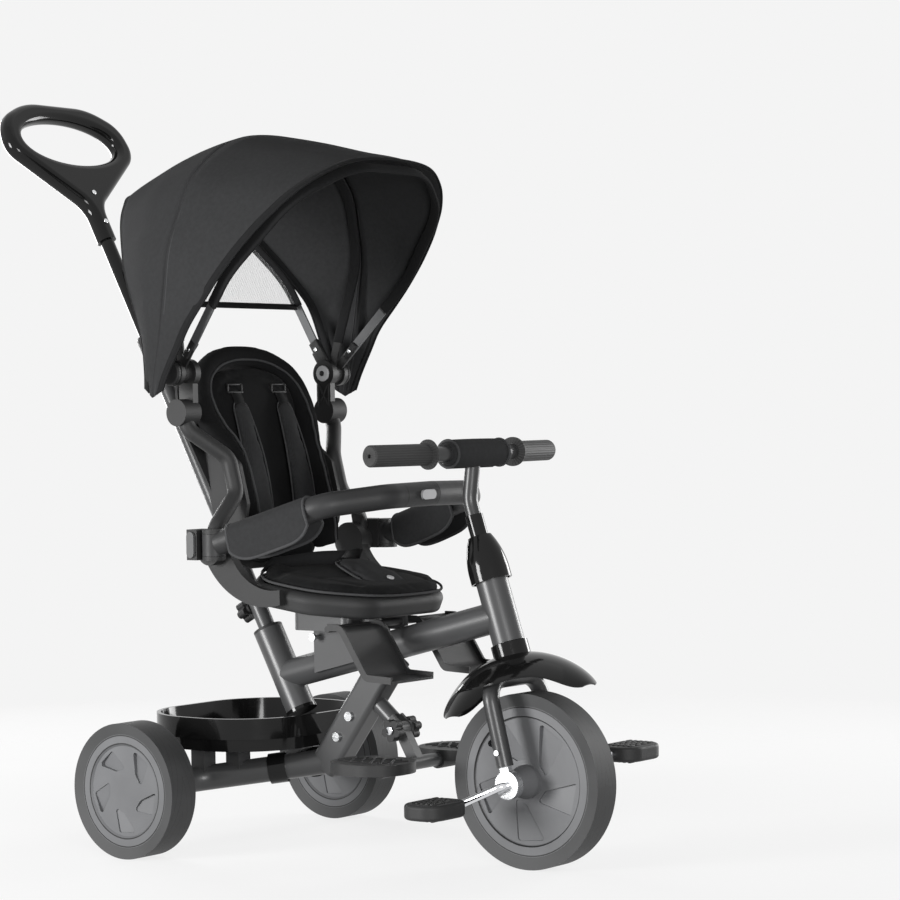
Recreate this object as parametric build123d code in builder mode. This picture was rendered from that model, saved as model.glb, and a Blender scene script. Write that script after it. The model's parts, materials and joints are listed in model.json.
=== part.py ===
from build123d import *
import os
from math import atan2, cos, hypot, radians, sin, tan

# Children's tricycle with a push handle that steers, a reclining seat and a folding canopy.
# Millimetres. +X points forward, +Y to the rider's left, +Z up.
# The origin lies on the ground under the middle of the outline.
# Places are given as (ahead of the front axle, left of the middle, above the ground).

os.makedirs("parts", exist_ok=True)

SIDES = (("left", 1), ("right", -1))

# Fits
RUN_FIT = 0.05
BODY_GAP = 0.4

# Wheels
FRONT_AXLE_X = 416.6
WHEELBASE = 559.0
FRONT_WHEEL_R = 125.0
FRONT_TYRE_W = 46.0
FRONT_TYRE_DEEP = 18.0
FRONT_RIM_R = FRONT_WHEEL_R - FRONT_TYRE_DEEP
REAR_WHEEL_R = 100.0
REAR_TYRE_W = 50.0
REAR_TYRE_DEEP = 16.5
REAR_RIM_R = REAR_WHEEL_R - REAR_TYRE_DEEP
HALF_TRACK = 236.0
TYRE_SHOULDER = 13.0
RIM_BAND = 14.0
RIM_INSET = 3.0
DISC_INSET = 6.0
RIM_CHAMFER = 3.0
WINDOW_COUNT = 5
WINDOW_DEPTH = 6.0
WINDOW_LEAD_DEPTH = 1.6
WINDOW_CORNER = 4.0
WINDOW_RIM_GAP = 6.0
WINDOW_HUB_GAP = 9.0
WINDOW_ROOT_ANGLES = (14.0, 50.0)
WINDOW_TIP_ANGLES = (42.0, 74.0)
HUB_R = 24.0
HUB_TIP_R = 17.0
FRONT_HUB_HALF = 49.0
HUB_SHOULDER = 8.0
HUB_INNER_PROUD = 2.0

# Crank and pedals
CRANK_ROD_R = 5.5
CRANK_RADIUS = 70.0
CRANK_DROP = 24.0
CRANK_ELBOW_Y = 77.0
CRANK_SPREAD = 12.0
CRANK_BEND = 9.0
PEDAL_INNER_Y = 104.0
PEDAL_WIDTH = 90.0
PEDAL_LENGTH = 66.0
PEDAL_THICK = 22.0
PEDAL_CORNER = 28.0
PEDAL_ROUND = 5.0
PEDAL_PIN_DEPTH = 82.0

# Steering column
STEER_TILT = 18.0
STEER_LEAD = 22.0
HEAD_BOTTOM_Z = 319.0
HEAD_TOP_Z = 411.0
HEAD_R = 23.5
HEAD_WALL = 3.0
BUSH_LENGTH = 16.0
STEERER_R = 14.0
STEM_R = 11.0
STEM_INSERT_Z = 385.0
STEM_BEND_Z = 522.0
STEM_BEND = 45.0
BAR_AHEAD = -98.0
BAR_Z = 590.0
BAR_R = 11.0
BAR_WALL = 2.0
BAR_HALF = 206.0
BAR_STRAIGHT = 70.0
BAR_SWEEP = 21.0
BAR_BEND = 60.0
GRIP_LENGTH = 111.0
GRIP_R = 15.5
GRIP_FLANGE_R = 21.5
GRIP_FLANGE = 9.0
GRIP_END = 5.0
GRIP_HOLE_R = 3.0
GRIP_CHAMFER = 2.0
GRIP_FLANGE_ROUND = 3.0
PAD_HALF = 63.0
PAD_R = 22.5
PAD_END_DROP = 5.0
PAD_SHOULDER_DROP = 1.0
PAD_SHOULDER = 8.0
COVER_R = 30.0
COVER_TOP_R = 17.0
COVER_DROP = 5.0
COVER_STRAIGHT = 16.0
COVER_TOP_Z = 470.0
COVER_WALL = 3.0
COVER_TURN_SHARE = 0.5
COVER_BELLY = 3.0
SLEEVE_R = 13.0
SLEEVE_TOP_Z = 500.0

# Fork and mudguard
FORK_HALF = 60.0
FORK_R = 12.0
FORK_WALL = 2.0
FORK_CROWN_R = 148.0
FORK_TILT = 14.0
FORK_BEND = 32.0
FORK_END_R = 26.0
CUP_R = 20.0
CUP_WIDTH = 13.0
NECK_WIDTH = 15.0
NECK_THICK = 9.0
FORK_SCREW_R = 47.0
SCREW_HEAD_R = 4.0
SCREW_HEAD = 2.5
SCREW_SINK = 1.0
GUARD_WALL = 2.5
GUARD_COLLAR_R = 27.0
GUARD_COLLAR_Z = 300.0
GUARD_COLLAR_SINK = 12.0
GUARD_COLLAR_GAP = 1.0
GUARD_CUT = 60.0
# Mudguard sections about the front axle: angle, half width, crown radius, side drop
GUARD_SECTIONS = (
    (55.0, 15.0, 174.0, 3.0),
    (63.0, 40.0, 177.0, 12.0),
    (80.0, 60.0, 181.0, 24.0),
    (103.0, 77.0, 183.0, 40.0),
    (126.0, 58.0, 179.0, 24.0),
    (143.0, 38.0, 174.0, 12.0),
    (151.0, 15.0, 171.0, 3.0),
)

# Frame tubes
MAIN_R = 22.5
MAIN_WALL = 2.5
MAIN_FRONT_Z = 357.0
MAIN_REAR_Z = 253.6
PUSH_TILT = 28.4
PUSH_AHEAD = -467.0
PUSH_REF_Z = 262.0
SOCKET_BOTTOM_Z = 204.0
SOCKET_TOP_Z = 320.0
SOCKET_R = 23.0
SOCKET_WALL = 3.0
SOCKET_CAP = 5.0
SOCKET_CAP_LIP = 1.0
SOCKET_PLUG = 14.0
SOCKET_BUSH = 40.0
SOCKET_LIP = 4.0
STRUT_TOP = (-255.0, 290.0)
STRUT_BOTTOM = (-383.0, 120.0)
STRUT_DEEP = 47.0
STRUT_WIDE = 40.0
STRUT_WALL = 2.5
STRUT_CORNER = 8.0
BOLT_HEIGHTS = (168.0, 200.0)
BOLT_HEAD_R = 7.0
BOLT_HEAD = 5.0
BOLT_R = 4.0
WISHBONE_R = 19.0
WISHBONE_WALL = 2.5
WISHBONE_APEX = (-385.0, 127.0)
WISHBONE_SHOULDER_Y = 110.0
WISHBONE_END_Y = 205.0
WISHBONE_BEND = 60.0
COLLAR_R = 23.0
COLLAR_LENGTH = 26.0
COLLAR_ALONG = 62.0
STUB_R = 6.0
STUB_PLUG = 30.0
STUB_END_Y = 250.0

# Rear basket
BASKET_FRONT = -394.0
BASKET_REAR = -655.0
BASKET_HALF = 150.0
BASKET_CORNER = 105.0
BASKET_FLOOR_Z = 150.0
BASKET_TOP_Z = 200.0
BASKET_BAND = 31.0
BASKET_WALL = 3.0
BASKET_TAPER = 9.0
BASKET_LIP = 4.0
BRACKET_AHEADS = (-500.0, -545.0)
BRACKET_SIZE = 26.0

# Seat saddle on the main tube
SADDLE_FRONT = -280.0
SADDLE_REAR = -385.0
SADDLE_TOP_Z = 329.0
SADDLE_SKIRT = 40.0
SADDLE_SHEET = 3.5
LATCH_AHEADS = (-287.0, -376.0)
LATCH_R = 3.0
LATCH_HEAD_R = 6.0
LATCH_LENGTH = 12.0

# Child footrest
STEM_ROOT = (-292.0, 227.0)
FOOT_HINGE = (-240.0, 184.0)
FOOT_STEM_R = 12.5
FOOT_STEM_SHORT = 20.0
CHEEK_R = 13.0
CHEEK = 5.0
CHEEK_TRIM = 1.0
EYE_HALF = 7.5
EYE_R = 12.0
LINK_BAR_DEEP = 18.0
FOOT_PIN_R = 4.0
CROSS_TUBE = (-212.0, 136.0)
CROSS_R = 10.0
CROSS_HALF = 76.0
PAD_LONG = 122.0
PAD_WIDE = 110.0
PAD_THICK = 16.0
PAD_TOP_Z = 150.0
PAD_CENTRE_Y = 102.0
PAD_CORNER = 50.0
PAD_BOSS_R = 14.0
KNOB_R = 17.0
KNOB_LOBES = 5
KNOB_LOBE_R = 6.0
KNOB_THICK = 14.0
KNOB_PROUD = 5.0
KNOB_WEB = 1.0

# Push handle
PUSH_LOWER_R = 13.0
PUSH_UPPER_R = 11.0
PUSH_INSERT = 62.0
PUSH_LOWER_LENGTH = 516.0
COLLAR_OUTER_R = 17.0
COLLAR_TALL = 42.0
COLLAR_LIP_R = 15.0
SHAFT_R = 7.0
SHAFT_PROUD = 55.0
SHAFT_HEAD_DROP = 20.0
SHAFT_HEAD = 14.0
PUSH_TRAVEL = 150.0
PUSH_OVERLAP = 60.0
NECK_ALONG = 696.0
LOOP_NECK_HALF = 15.0
# Half outline of the loop from its neck to its top: half width, height above the foot, bend
LOOP_CORNERS = (
    (15.0, 62.0, 45.0),
    (139.5, 164.0, 40.0),
    (130.0, 222.0, 55.0),
    (69.0, 254.0, 120.0),
)
HOLE_HALF = 104.0
HOLE_LOW = 141.0
HOLE_HIGH = 225.0
LOOP_THICK = 28.0
LOOP_ROUND = 12.0
PUSH_KNOB_ALONG = 46.0

# Seat
SEAT_TILT = 7.5
SEAT_AHEAD = -343.0
SEAT_TOP_Z = 397.0
PAN_THICK = 32.0
PAN_FLOOR = 12.0
PAN_RIM = 20.0
PAN_DRAFT = 14.0
PAN_CORNER = 60.0
PAN_ROUND = 12.0
PAN_FOOT_ROUND = 8.0
PAN_OUTLINE = ((-131.0, 55.0), (-62.0, 150.0), (50.0, 152.0), (126.0, 92.0))
PLATE_FRONT = -288.0
PLATE_REAR = -398.0
PLATE_HALF = 62.0
PLATE_CORNER = 14.0
EAR_INNER_Y = 28.0
EAR_THICK = 6.0
EAR_LAP = 10.0
EAR_BELOW = 12.0
EAR_CHAMFER = 6.0
CUSHION_OUTLINE = ((-96.0, 45.0), (-50.0, 118.0), (44.0, 125.0), (101.0, 68.0))
CUSHION_CORNER = 38.0
CUSHION_PROUD = 15.0
# Cushion layers: share of its height, inset
CUSHION_LAYERS = ((0.0, 6.0), (0.4, 0.5), (0.75, 4.0), (1.0, 30.0))
CROTCH_LENGTH = 92.0
CROTCH_WIDTH = 86.0
CROTCH_THICK = 14.0
CROTCH_AHEAD = 52.0
CROTCH_TILT = 16.0
CROTCH_LIFT = -2.0
# Flap layers: share of its thickness, shrink, corner
CROTCH_LAYERS = ((0.0, 8.0, 24.0), (0.5, 0.0, 26.0), (1.0, 22.0, 20.0))
LEG_HINGE = (-262.0, 340.0)
LEG_ROD_R = 5.0
CHUTE_INNER_Y = 42.0
CHUTE_OUTER_Y = 140.0
CHUTE_KNEE = (-240.0, 340.0)
CHUTE_HEEL = (-194.0, 270.0)
CHUTE_TOE = (-146.0, 268.0)
CHUTE_SHEET = 4.0
CHUTE_BEND = 14.0
CHUTE_FLANGE = 8.0

# Backrest
HINGE_AHEAD = -457.0
HINGE_Z = 452.0
BACK_TILT = 14.3
HOUSING_R = 28.0
HOUSING_INNER_Y = 144.0
HOUSING_OUTER_Y = 159.0
# Curves of a housing's side plate, as (ahead, up): along its top and back along its foot
HOUSING_TOP_CURVE = ((-431.0, 449.0), (-404.0, 413.0), (-335.0, 396.0))
HOUSING_FOOT_CURVE = ((-335.0, 374.0), (-432.0, 388.0), (-484.0, 446.0))
HINGE_PIN_R = 7.0
ARM_HUB_R = 22.0
ARM_HUB_OUTER_Y = 177.0
ARM_HUB_CUT = 20.0
ARM_HUB_OVERRUN = 1.0
ARM_Y = 168.0
ARM_R = 12.0
ARM_BEND = 26.0
# Arm's middle line between its hub and its knuckle: forward, left, up along the back
ARM_ROUTE = ((14.0, 168.0, 30.0), (26.0, 120.0, 78.0), (26.0, 120.0, 132.0), (0.0, 168.0, 184.0))
KNUCKLE_ALONG = 210.0
KNUCKLE_R = 20.0
KNUCKLE_HALF = 17.0
SHELL_BACK = -36.0
SHELL_THICK = 5.0
# Half outline of the shell, narrow at the waist: half width, height along the back
SHELL_OUTLINE = ((110.0, -26.0), (110.0, 100.0), (141.0, 190.0), (141.0, 296.0))
SHELL_CORNER = 60.0
WALL_INNER_Y = 103.0
WALL_OUTER_Y = 110.0
WALL_CORNER = 14.0
# Side wall of the shell at the waist: forward of the hinge line, height along the back
WALL_OUTLINE = ((-36.0, 22.0), (16.0, 22.0), (34.0, 60.0), (34.0, 122.0), (6.0, 158.0), (-36.0, 158.0))
BACK_PAD_THICK = 32.0
BACK_PAD_CORNER = 40.0
# Back cushion: height along the back, half width
BACK_PAD_OUTLINE = ((-26.0, 70.0), (128.0, 73.0), (188.0, 124.0), (262.0, 128.0), (312.0, 62.0))
# Back cushion layers: share of its thickness, inset
BACK_PAD_LAYERS = ((0.0, 5.0), (0.4, 0.0), (0.8, 4.0), (1.0, 26.0))
BOLSTER_HALF_WIDTH = 11.5
BOLSTER_Y = 90.0
BOLSTER_DEEP = 66.0
BOLSTER_LOW = -8.0
BOLSTER_HIGH = 120.0
BOLSTER_LIFT = 0.75
BOLSTER_CORNER = 26.0
# Bolster layers: share of its half width, shrink
BOLSTER_LAYERS = ((-1.0, 10.0), (-0.33, 0.0), (0.33, 0.0), (1.0, 10.0))
SHOULDER_Y = 50.0
SHOULDER_WIDTH = 52.0
SHOULDER_LOW = 40.0
SHOULDER_HIGH = 232.0
SHOULDER_THICK = 12.0
SHOULDER_CORNER = 18.0
# Shoulder pad layers: share of its thickness, shrink
SHOULDER_LAYERS = ((0.0, 6.0), (0.5, 0.0), (1.0, 14.0))

# Safety bar
CLIP_AHEAD = -425.0
CLIP_Y = 199.0
CLIP_Z = 462.0
CLIP_R = 17.0
CLIP_BARREL = 32.0
CLIP_PLATE = 6.0
CLIP_PIN_R = 4.0
CLIP_ROOT = 10.0
CLIP_REACH = 23.0
CLIP_DEEP = 20.0
CLIP_OUT = 12.0
SAFETY_R = 18.0
SAFETY_CORNER = (-238.0, 170.0, 520.0)
SAFETY_BOW = (-184.0, 96.0, 530.0)
SAFETY_FRONT = (-177.0, 532.0)
SAFETY_BEND = 46.0
SAFETY_GAP = 0.8
DRAPE_REAR = 0.19
DRAPE_FRONT = 0.88
DRAPE_SHEET = 3.0
DRAPE_HANG = 42.0
LOCK_LENGTH = 30.0
LOCK_WIDTH = 14.0
LOCK_Y = 26.0
LOCK_PROUD = 3.0
LOCK_DEPTH = 9.0
LOCK_TRAVEL = 3.0
BUTTON_LENGTH = 38.0
BUTTON_WIDTH = 14.0
BUTTON_PROUD = 4.0
BUTTON_DEPTH = 7.0
BUTTON_TRAVEL = 3.0

# Canopy
PIVOT_AHEAD = -509.0
PIVOT_Z = 714.0
LINK_INNER_Y = 152.0
LINK_THICK = 11.0
LINK_WIDE = 28.0
PIVOT_R = 21.0
PIVOT_PIN_R = 7.0
HOOP_EYE_R = 15.0
HOOP_EYE = 6.0
HOOP_ROOT = 13.0
PIVOT_CAP = 8.0
PIVOT_CAP_R = 19.0
HOOP_ANGLES = {"rear": -33.0, "mid": 7.5, "front": 42.0}
# Corners of half a hoop before its bends, at shoulder, haunch and roof: across, away from the pivot
HOOP_CORNERS = {
    "rear": ((178.0, 180.0), (136.0, 262.0), (60.0, 331.0)),
    "mid": ((213.0, 180.0), (178.0, 284.0), (82.0, 355.0)),
    "front": ((207.0, 190.0), (172.0, 330.0), (82.0, 396.0)),
}
HOOP_BEND = 120.0
STRIP_THICK = 3.0
STRIP_WIDE = 14.0
FABRIC_ROOT_Y = 204.0
FABRIC_ROOT = 14.0
FABRIC_SHEET = 2.0
FABRIC_LOOSE = 4.0
MESH_SHEET = 1.5
MESH_LOW = 128.0
MESH_INSET = 2.2


def spot(ahead, left, up):
    """A place in the tricycle's frame."""
    return Vector(FRONT_AXLE_X + ahead, left, up)


def side_plane(ahead, left, up):
    """A plane across the tricycle: its x runs forward and its z runs to the left."""
    return Plane(origin=spot(ahead, left, up), x_dir=(1, 0, 0), z_dir=(0, 1, 0))


def tilted_plane(ahead, up, tilt):
    """A level plane whose z leans back by tilt, with x forward in the middle of the tricycle."""
    lean = radians(tilt)
    return Plane(
        origin=spot(ahead, 0, up), x_dir=(cos(lean), 0, sin(lean)), z_dir=(-sin(lean), 0, cos(lean))
    )


def steer_plane(up):
    """The plane square to the steering axis, where that axis is at a height."""
    back = (up - FRONT_WHEEL_R) * tan(radians(STEER_TILT))
    return tilted_plane(STEER_LEAD - back, up, STEER_TILT)


def push_plane(up):
    """The plane square to the push handle, where its axis is at a height."""
    back = (up - PUSH_REF_Z) * tan(radians(PUSH_TILT))
    return tilted_plane(PUSH_AHEAD - back, up, PUSH_TILT)


def along(plane, amount):
    """The same plane moved along its own z."""
    return plane.offset(amount)


def ring(plane, outer, height, bore=0.0, mode=Mode.ADD):
    """A round bar or ring that stands on a plane."""
    with BuildSketch(plane, mode=Mode.PRIVATE) as section:
        Circle(outer)
        if bore > 0:
            Circle(bore, mode=Mode.SUBTRACT)
    extrude(section.sketch, amount=height, mode=mode)


def rod(points, outer, bend=0.0, bore=0.0, mode=Mode.ADD):
    """A round bar or tube along straight runs joined by tangent arcs."""
    with BuildLine(mode=Mode.PRIVATE) as route:
        if bend > 0:
            FilletPolyline(*points, radius=bend)
        else:
            Polyline(*points)
    path = route.line
    with BuildSketch(Plane(path @ 0, z_dir=path % 0), mode=Mode.PRIVATE) as section:
        Circle(outer)
        if bore > 0:
            Circle(bore, mode=Mode.SUBTRACT)
    sweep(section.sketch, path=path, mode=mode)


def turned(plane, outline, rounding=0.0, mode=Mode.ADD):
    """A body turned about a plane's z from an outline of (radius, height) points."""
    profile_plane = Plane(origin=plane.origin, x_dir=plane.x_dir, z_dir=-plane.y_dir)
    with BuildSketch(profile_plane, mode=Mode.PRIVATE) as section:
        with BuildLine():
            Polyline(*outline, close=True)
        make_face()
        if rounding > 0:
            far = max(radius for radius, height in outline)
            fillet([v for v in section.vertices() if abs(local_radius(plane, v) - far) < 0.01], rounding)
    revolve(section.sketch, axis=Axis(plane.origin, plane.z_dir), mode=mode)


def local_radius(plane, vertex):
    """How far a point lies from a plane's z axis."""
    place = plane.to_local_coords(Vector(vertex.X, vertex.Y, vertex.Z))
    return hypot(place.X, place.Y)


def slab(plane, points, thick, corner=0.0, both=False, mode=Mode.ADD):
    """A plate with a straight-sided outline on a plane, with its corners rounded."""
    with BuildSketch(plane, mode=Mode.PRIVATE) as section:
        with BuildLine():
            Polyline(*points, close=True)
        make_face()
        if corner > 0:
            fillet(section.vertices(), corner)
    extrude(section.sketch, amount=thick, both=both, mode=mode)


def mirrored(points):
    """An outline of (along, across) points completed by its mirror image."""
    return list(points) + [(x, -y) for x, y in reversed(points)]


def pillow(sections):
    """A soft body lofted through rounded rectangles: (plane, length, width, corner)."""
    faces = []
    for plane, length, width, corner in sections:
        with BuildSketch(plane, mode=Mode.PRIVATE) as section:
            RectangleRounded(length, width, corner)
        faces.append(section.sketch)
    loft(faces)


# Shared places
FRONT_AXLE = spot(0, 0, FRONT_WHEEL_R)
REAR_AHEAD = -WHEELBASE
BAR_END_X = BAR_AHEAD - BAR_SWEEP
MAIN_START = steer_plane(MAIN_FRONT_Z).origin
MAIN_END = push_plane(MAIN_REAR_Z).origin
MAIN_PLANE = Plane(MAIN_START, x_dir=(0, 1, 0), z_dir=MAIN_END - MAIN_START)
MAIN_LENGTH = (MAIN_END - MAIN_START).length
HEAD_LENGTH = (HEAD_TOP_Z - HEAD_BOTTOM_Z) / cos(radians(STEER_TILT))
SOCKET_LENGTH = (SOCKET_TOP_Z - SOCKET_BOTTOM_Z) / cos(radians(PUSH_TILT))
STRUT_FOOT = spot(STRUT_BOTTOM[0], 0, STRUT_BOTTOM[1])
STRUT_HEAD = spot(STRUT_TOP[0], 0, STRUT_TOP[1])
STRUT_PLANE = Plane(STRUT_FOOT, x_dir=(0, 1, 0), z_dir=STRUT_HEAD - STRUT_FOOT)
STRUT_LENGTH = (STRUT_HEAD - STRUT_FOOT).length
FORK_LEAN = radians(FORK_TILT)
WISHBONE_ROUTE = [
    spot(REAR_AHEAD, WISHBONE_END_Y, REAR_WHEEL_R),
    spot(REAR_AHEAD, WISHBONE_SHOULDER_Y, REAR_WHEEL_R),
    spot(WISHBONE_APEX[0], 0, WISHBONE_APEX[1]),
    spot(REAR_AHEAD, -WISHBONE_SHOULDER_Y, REAR_WHEEL_R),
    spot(REAR_AHEAD, -WISHBONE_END_Y, REAR_WHEEL_R),
]
SEAT = Plane(
    origin=spot(SEAT_AHEAD, 0, SEAT_TOP_Z),
    x_dir=(cos(radians(SEAT_TILT)), 0, -sin(radians(SEAT_TILT))),
    z_dir=(sin(radians(SEAT_TILT)), 0, cos(radians(SEAT_TILT))),
)
BACK = tilted_plane(HINGE_AHEAD, HINGE_Z, BACK_TILT)
STEM_ROUTE = [
    steer_plane(STEM_INSERT_Z).origin,
    steer_plane(STEM_BEND_Z).origin,
    spot(BAR_AHEAD, 0, BAR_Z),
]


def fork_place(side, distance):
    """A place on a fork leg's middle line, at a distance from the front axle."""
    return spot(-distance * sin(FORK_LEAN), side * FORK_HALF, FRONT_WHEEL_R + distance * cos(FORK_LEAN))


def wishbone(outer, bore=0.0, mode=Mode.ADD):
    """The rear tube from wheel to wheel, bent forward to its apex under the strut."""
    half = WISHBONE_ROUTE[:3]
    for points in (half, [Vector(p.X, -p.Y, p.Z) for p in half]):
        rod(points, outer, WISHBONE_BEND, bore, mode)


# Frame
with BuildPart() as head_tube:
    ring(steer_plane(HEAD_BOTTOM_Z), HEAD_R, HEAD_LENGTH, HEAD_R - HEAD_WALL)
head_tube.part.label = "head_tube"
export_step(head_tube.part, "parts/head_tube.step")

with BuildPart() as main_tube:
    ring(MAIN_PLANE, MAIN_R, MAIN_LENGTH, MAIN_R - MAIN_WALL)
    ring(steer_plane(HEAD_BOTTOM_Z), HEAD_R, HEAD_LENGTH, mode=Mode.SUBTRACT)
    ring(push_plane(SOCKET_BOTTOM_Z), SOCKET_R, SOCKET_LENGTH, mode=Mode.SUBTRACT)
main_tube.part.label = "main_tube"
export_step(main_tube.part, "parts/main_tube.step")

with BuildPart() as handle_socket:
    ring(push_plane(SOCKET_BOTTOM_Z), SOCKET_R, SOCKET_LENGTH, SOCKET_R - SOCKET_WALL)
handle_socket.part.label = "handle_socket"
export_step(handle_socket.part, "parts/handle_socket.step")

with BuildPart() as strut:
    for grow, mode in ((0.0, Mode.ADD), (STRUT_WALL, Mode.SUBTRACT)):
        with BuildSketch(STRUT_PLANE, mode=Mode.PRIVATE) as section:
            RectangleRounded(STRUT_WIDE - 2 * grow, STRUT_DEEP - 2 * grow, STRUT_CORNER - grow)
        extrude(section.sketch, amount=STRUT_LENGTH, mode=mode)
    stem_root = spot(STEM_ROOT[0], 0, STEM_ROOT[1])
    foot_hinge = spot(FOOT_HINGE[0], 0, FOOT_HINGE[1])
    stem_way = (foot_hinge - stem_root).normalized()
    stem_tip = foot_hinge - stem_way * FOOT_STEM_SHORT
    rod([stem_root, stem_tip], FOOT_STEM_R)
    for side in (1, -1):
        inner = EYE_HALF + BODY_GAP
        cheek_y = inner if side > 0 else -inner - CHEEK
        cheek_plane = side_plane(FOOT_HINGE[0], cheek_y, FOOT_HINGE[1])
        ring(cheek_plane, CHEEK_R, CHEEK)
        back = cheek_plane.to_local_coords(stem_tip)
        square = Vector(-back.Y, back.X, 0).normalized() * (CHEEK_R - CHEEK_TRIM)
        corners = [(back + square), (back - square), -square, square]
        slab(cheek_plane, [(c.X, c.Y) for c in corners], CHEEK)
    ring(side_plane(FOOT_HINGE[0], -STRUT_WIDE, FOOT_HINGE[1]), FOOT_PIN_R + RUN_FIT, 2 * STRUT_WIDE,
         mode=Mode.SUBTRACT)
    ring(MAIN_PLANE, MAIN_R, MAIN_LENGTH, mode=Mode.SUBTRACT)
    wishbone(WISHBONE_R, mode=Mode.SUBTRACT)
    for height in BOLT_HEIGHTS:
        share = (height - STRUT_BOTTOM[1]) / (STRUT_TOP[1] - STRUT_BOTTOM[1])
        ahead = STRUT_BOTTOM[0] + share * (STRUT_TOP[0] - STRUT_BOTTOM[0])
        ring(side_plane(ahead, -STRUT_WIDE, height), BOLT_R, 2 * STRUT_WIDE, mode=Mode.SUBTRACT)
strut.part.label = "strut"
export_step(strut.part, "parts/strut.step")

with BuildPart() as wishbone_tube:
    wishbone(WISHBONE_R)
    wishbone(WISHBONE_R - WISHBONE_WALL, mode=Mode.SUBTRACT)
wishbone_tube.part.label = "wishbone_tube"
export_step(wishbone_tube.part, "parts/wishbone_tube.step")

with BuildPart() as frame_bushes:
    bush_outer = HEAD_R - HEAD_WALL
    ring(steer_plane(HEAD_BOTTOM_Z), bush_outer, BUSH_LENGTH, STEERER_R + RUN_FIT)
    ring(along(steer_plane(HEAD_TOP_Z), -BUSH_LENGTH), bush_outer, BUSH_LENGTH, STEERER_R + RUN_FIT)
    socket_top = push_plane(SOCKET_TOP_Z)
    ring(along(socket_top, -SOCKET_BUSH), SOCKET_R - SOCKET_WALL, SOCKET_BUSH, PUSH_LOWER_R + RUN_FIT)
    ring(socket_top, SOCKET_R, SOCKET_LIP, PUSH_LOWER_R + RUN_FIT)
frame_bushes.part.label = "frame_bushes"
export_step(frame_bushes.part, "parts/frame_bushes.step")

with BuildPart() as frame_caps:
    socket_foot = push_plane(SOCKET_BOTTOM_Z)
    ring(along(socket_foot, -SOCKET_CAP), SOCKET_R + SOCKET_CAP_LIP, SOCKET_CAP)
    ring(socket_foot, SOCKET_R - SOCKET_WALL, SOCKET_PLUG, SHAFT_R + RUN_FIT)
    apex = WISHBONE_ROUTE[2]
    for shoulder in (WISHBONE_ROUTE[1], WISHBONE_ROUTE[3]):
        way = (shoulder - apex).normalized()
        ring(Plane(apex + way * COLLAR_ALONG, z_dir=way), COLLAR_R, COLLAR_LENGTH, WISHBONE_R)
frame_caps.part.label = "frame_caps"
export_step(frame_caps.part, "parts/frame_caps.step")

with BuildPart() as frame_fasteners:
    for height in BOLT_HEIGHTS:
        share = (height - STRUT_BOTTOM[1]) / (STRUT_TOP[1] - STRUT_BOTTOM[1])
        ahead = STRUT_BOTTOM[0] + share * (STRUT_TOP[0] - STRUT_BOTTOM[0])
        ring(side_plane(ahead, -STRUT_WIDE / 2, height), BOLT_R, STRUT_WIDE)
        ring(side_plane(ahead, STRUT_WIDE / 2, height), BOLT_HEAD_R, BOLT_HEAD)
        ring(side_plane(ahead, -STRUT_WIDE / 2 - BOLT_HEAD, height), BOLT_HEAD_R, BOLT_HEAD)
    saddle_half = MAIN_R + BODY_GAP + SADDLE_SHEET
    for ahead in LATCH_AHEADS:
        for name, side in SIDES:
            height = SADDLE_TOP_Z - LATCH_LENGTH
            start = saddle_half if side > 0 else -saddle_half - LATCH_LENGTH
            ring(side_plane(ahead, start, height), LATCH_R, LATCH_LENGTH)
            head = saddle_half + LATCH_LENGTH if side > 0 else -saddle_half - LATCH_LENGTH - LATCH_R
            ring(side_plane(ahead, head, height), LATCH_HEAD_R, LATCH_R)
    for name, side in SIDES:
        inner = WISHBONE_END_Y - STUB_PLUG
        stub_start = inner if side > 0 else -STUB_END_Y
        ring(side_plane(REAR_AHEAD, stub_start, REAR_WHEEL_R), STUB_R, STUB_END_Y - inner)
        plug_start = inner if side > 0 else -WISHBONE_END_Y
        ring(side_plane(REAR_AHEAD, plug_start, REAR_WHEEL_R), WISHBONE_R - WISHBONE_WALL, STUB_PLUG)
frame_fasteners.part.label = "frame_fasteners"
export_step(frame_fasteners.part, "parts/frame_fasteners.step")

with BuildPart() as frame_brackets:
    inner_half = MAIN_R + BODY_GAP
    main_slope = atan2(MAIN_START.Z - MAIN_END.Z, MAIN_START.X - MAIN_END.X)
    drop = (SADDLE_FRONT - SADDLE_REAR) * tan(main_slope)
    skirt_front = SADDLE_TOP_Z - SADDLE_SKIRT
    skirt = [
        (SADDLE_REAR, SADDLE_TOP_Z),
        (SADDLE_FRONT, SADDLE_TOP_Z),
        (SADDLE_FRONT, skirt_front),
        (SADDLE_REAR, skirt_front - drop),
    ]
    flat = Plane(origin=(FRONT_AXLE_X, 0, 0), x_dir=(1, 0, 0), z_dir=(0, -1, 0))
    slab(flat, skirt, inner_half + SADDLE_SHEET, both=True)
    hollow = [(x, z - SADDLE_SHEET if z == SADDLE_TOP_Z else z - SADDLE_SKIRT) for x, z in skirt]
    slab(flat, hollow, inner_half, both=True, mode=Mode.SUBTRACT)
    for ahead in BRACKET_AHEADS:
        share = (ahead - WISHBONE_APEX[0]) / (REAR_AHEAD - WISHBONE_APEX[0])
        for name, side in SIDES:
            y = side * share * WISHBONE_SHOULDER_Y
            with Locations(spot(ahead, y, (REAR_WHEEL_R + BASKET_FLOOR_Z) / 2)):
                Box(BRACKET_SIZE, BRACKET_SIZE, BASKET_FLOOR_Z - REAR_WHEEL_R)
    wishbone(WISHBONE_R, mode=Mode.SUBTRACT)
    with Locations(spot((BASKET_FRONT + BASKET_REAR) / 2, 0, REAR_WHEEL_R / 2)):
        Box(2 * BASKET_HALF, 2 * BASKET_HALF, REAR_WHEEL_R + BRACKET_SIZE / 2, mode=Mode.SUBTRACT)
frame_brackets.part.label = "frame_brackets"
export_step(frame_brackets.part, "parts/frame_brackets.step")

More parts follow.
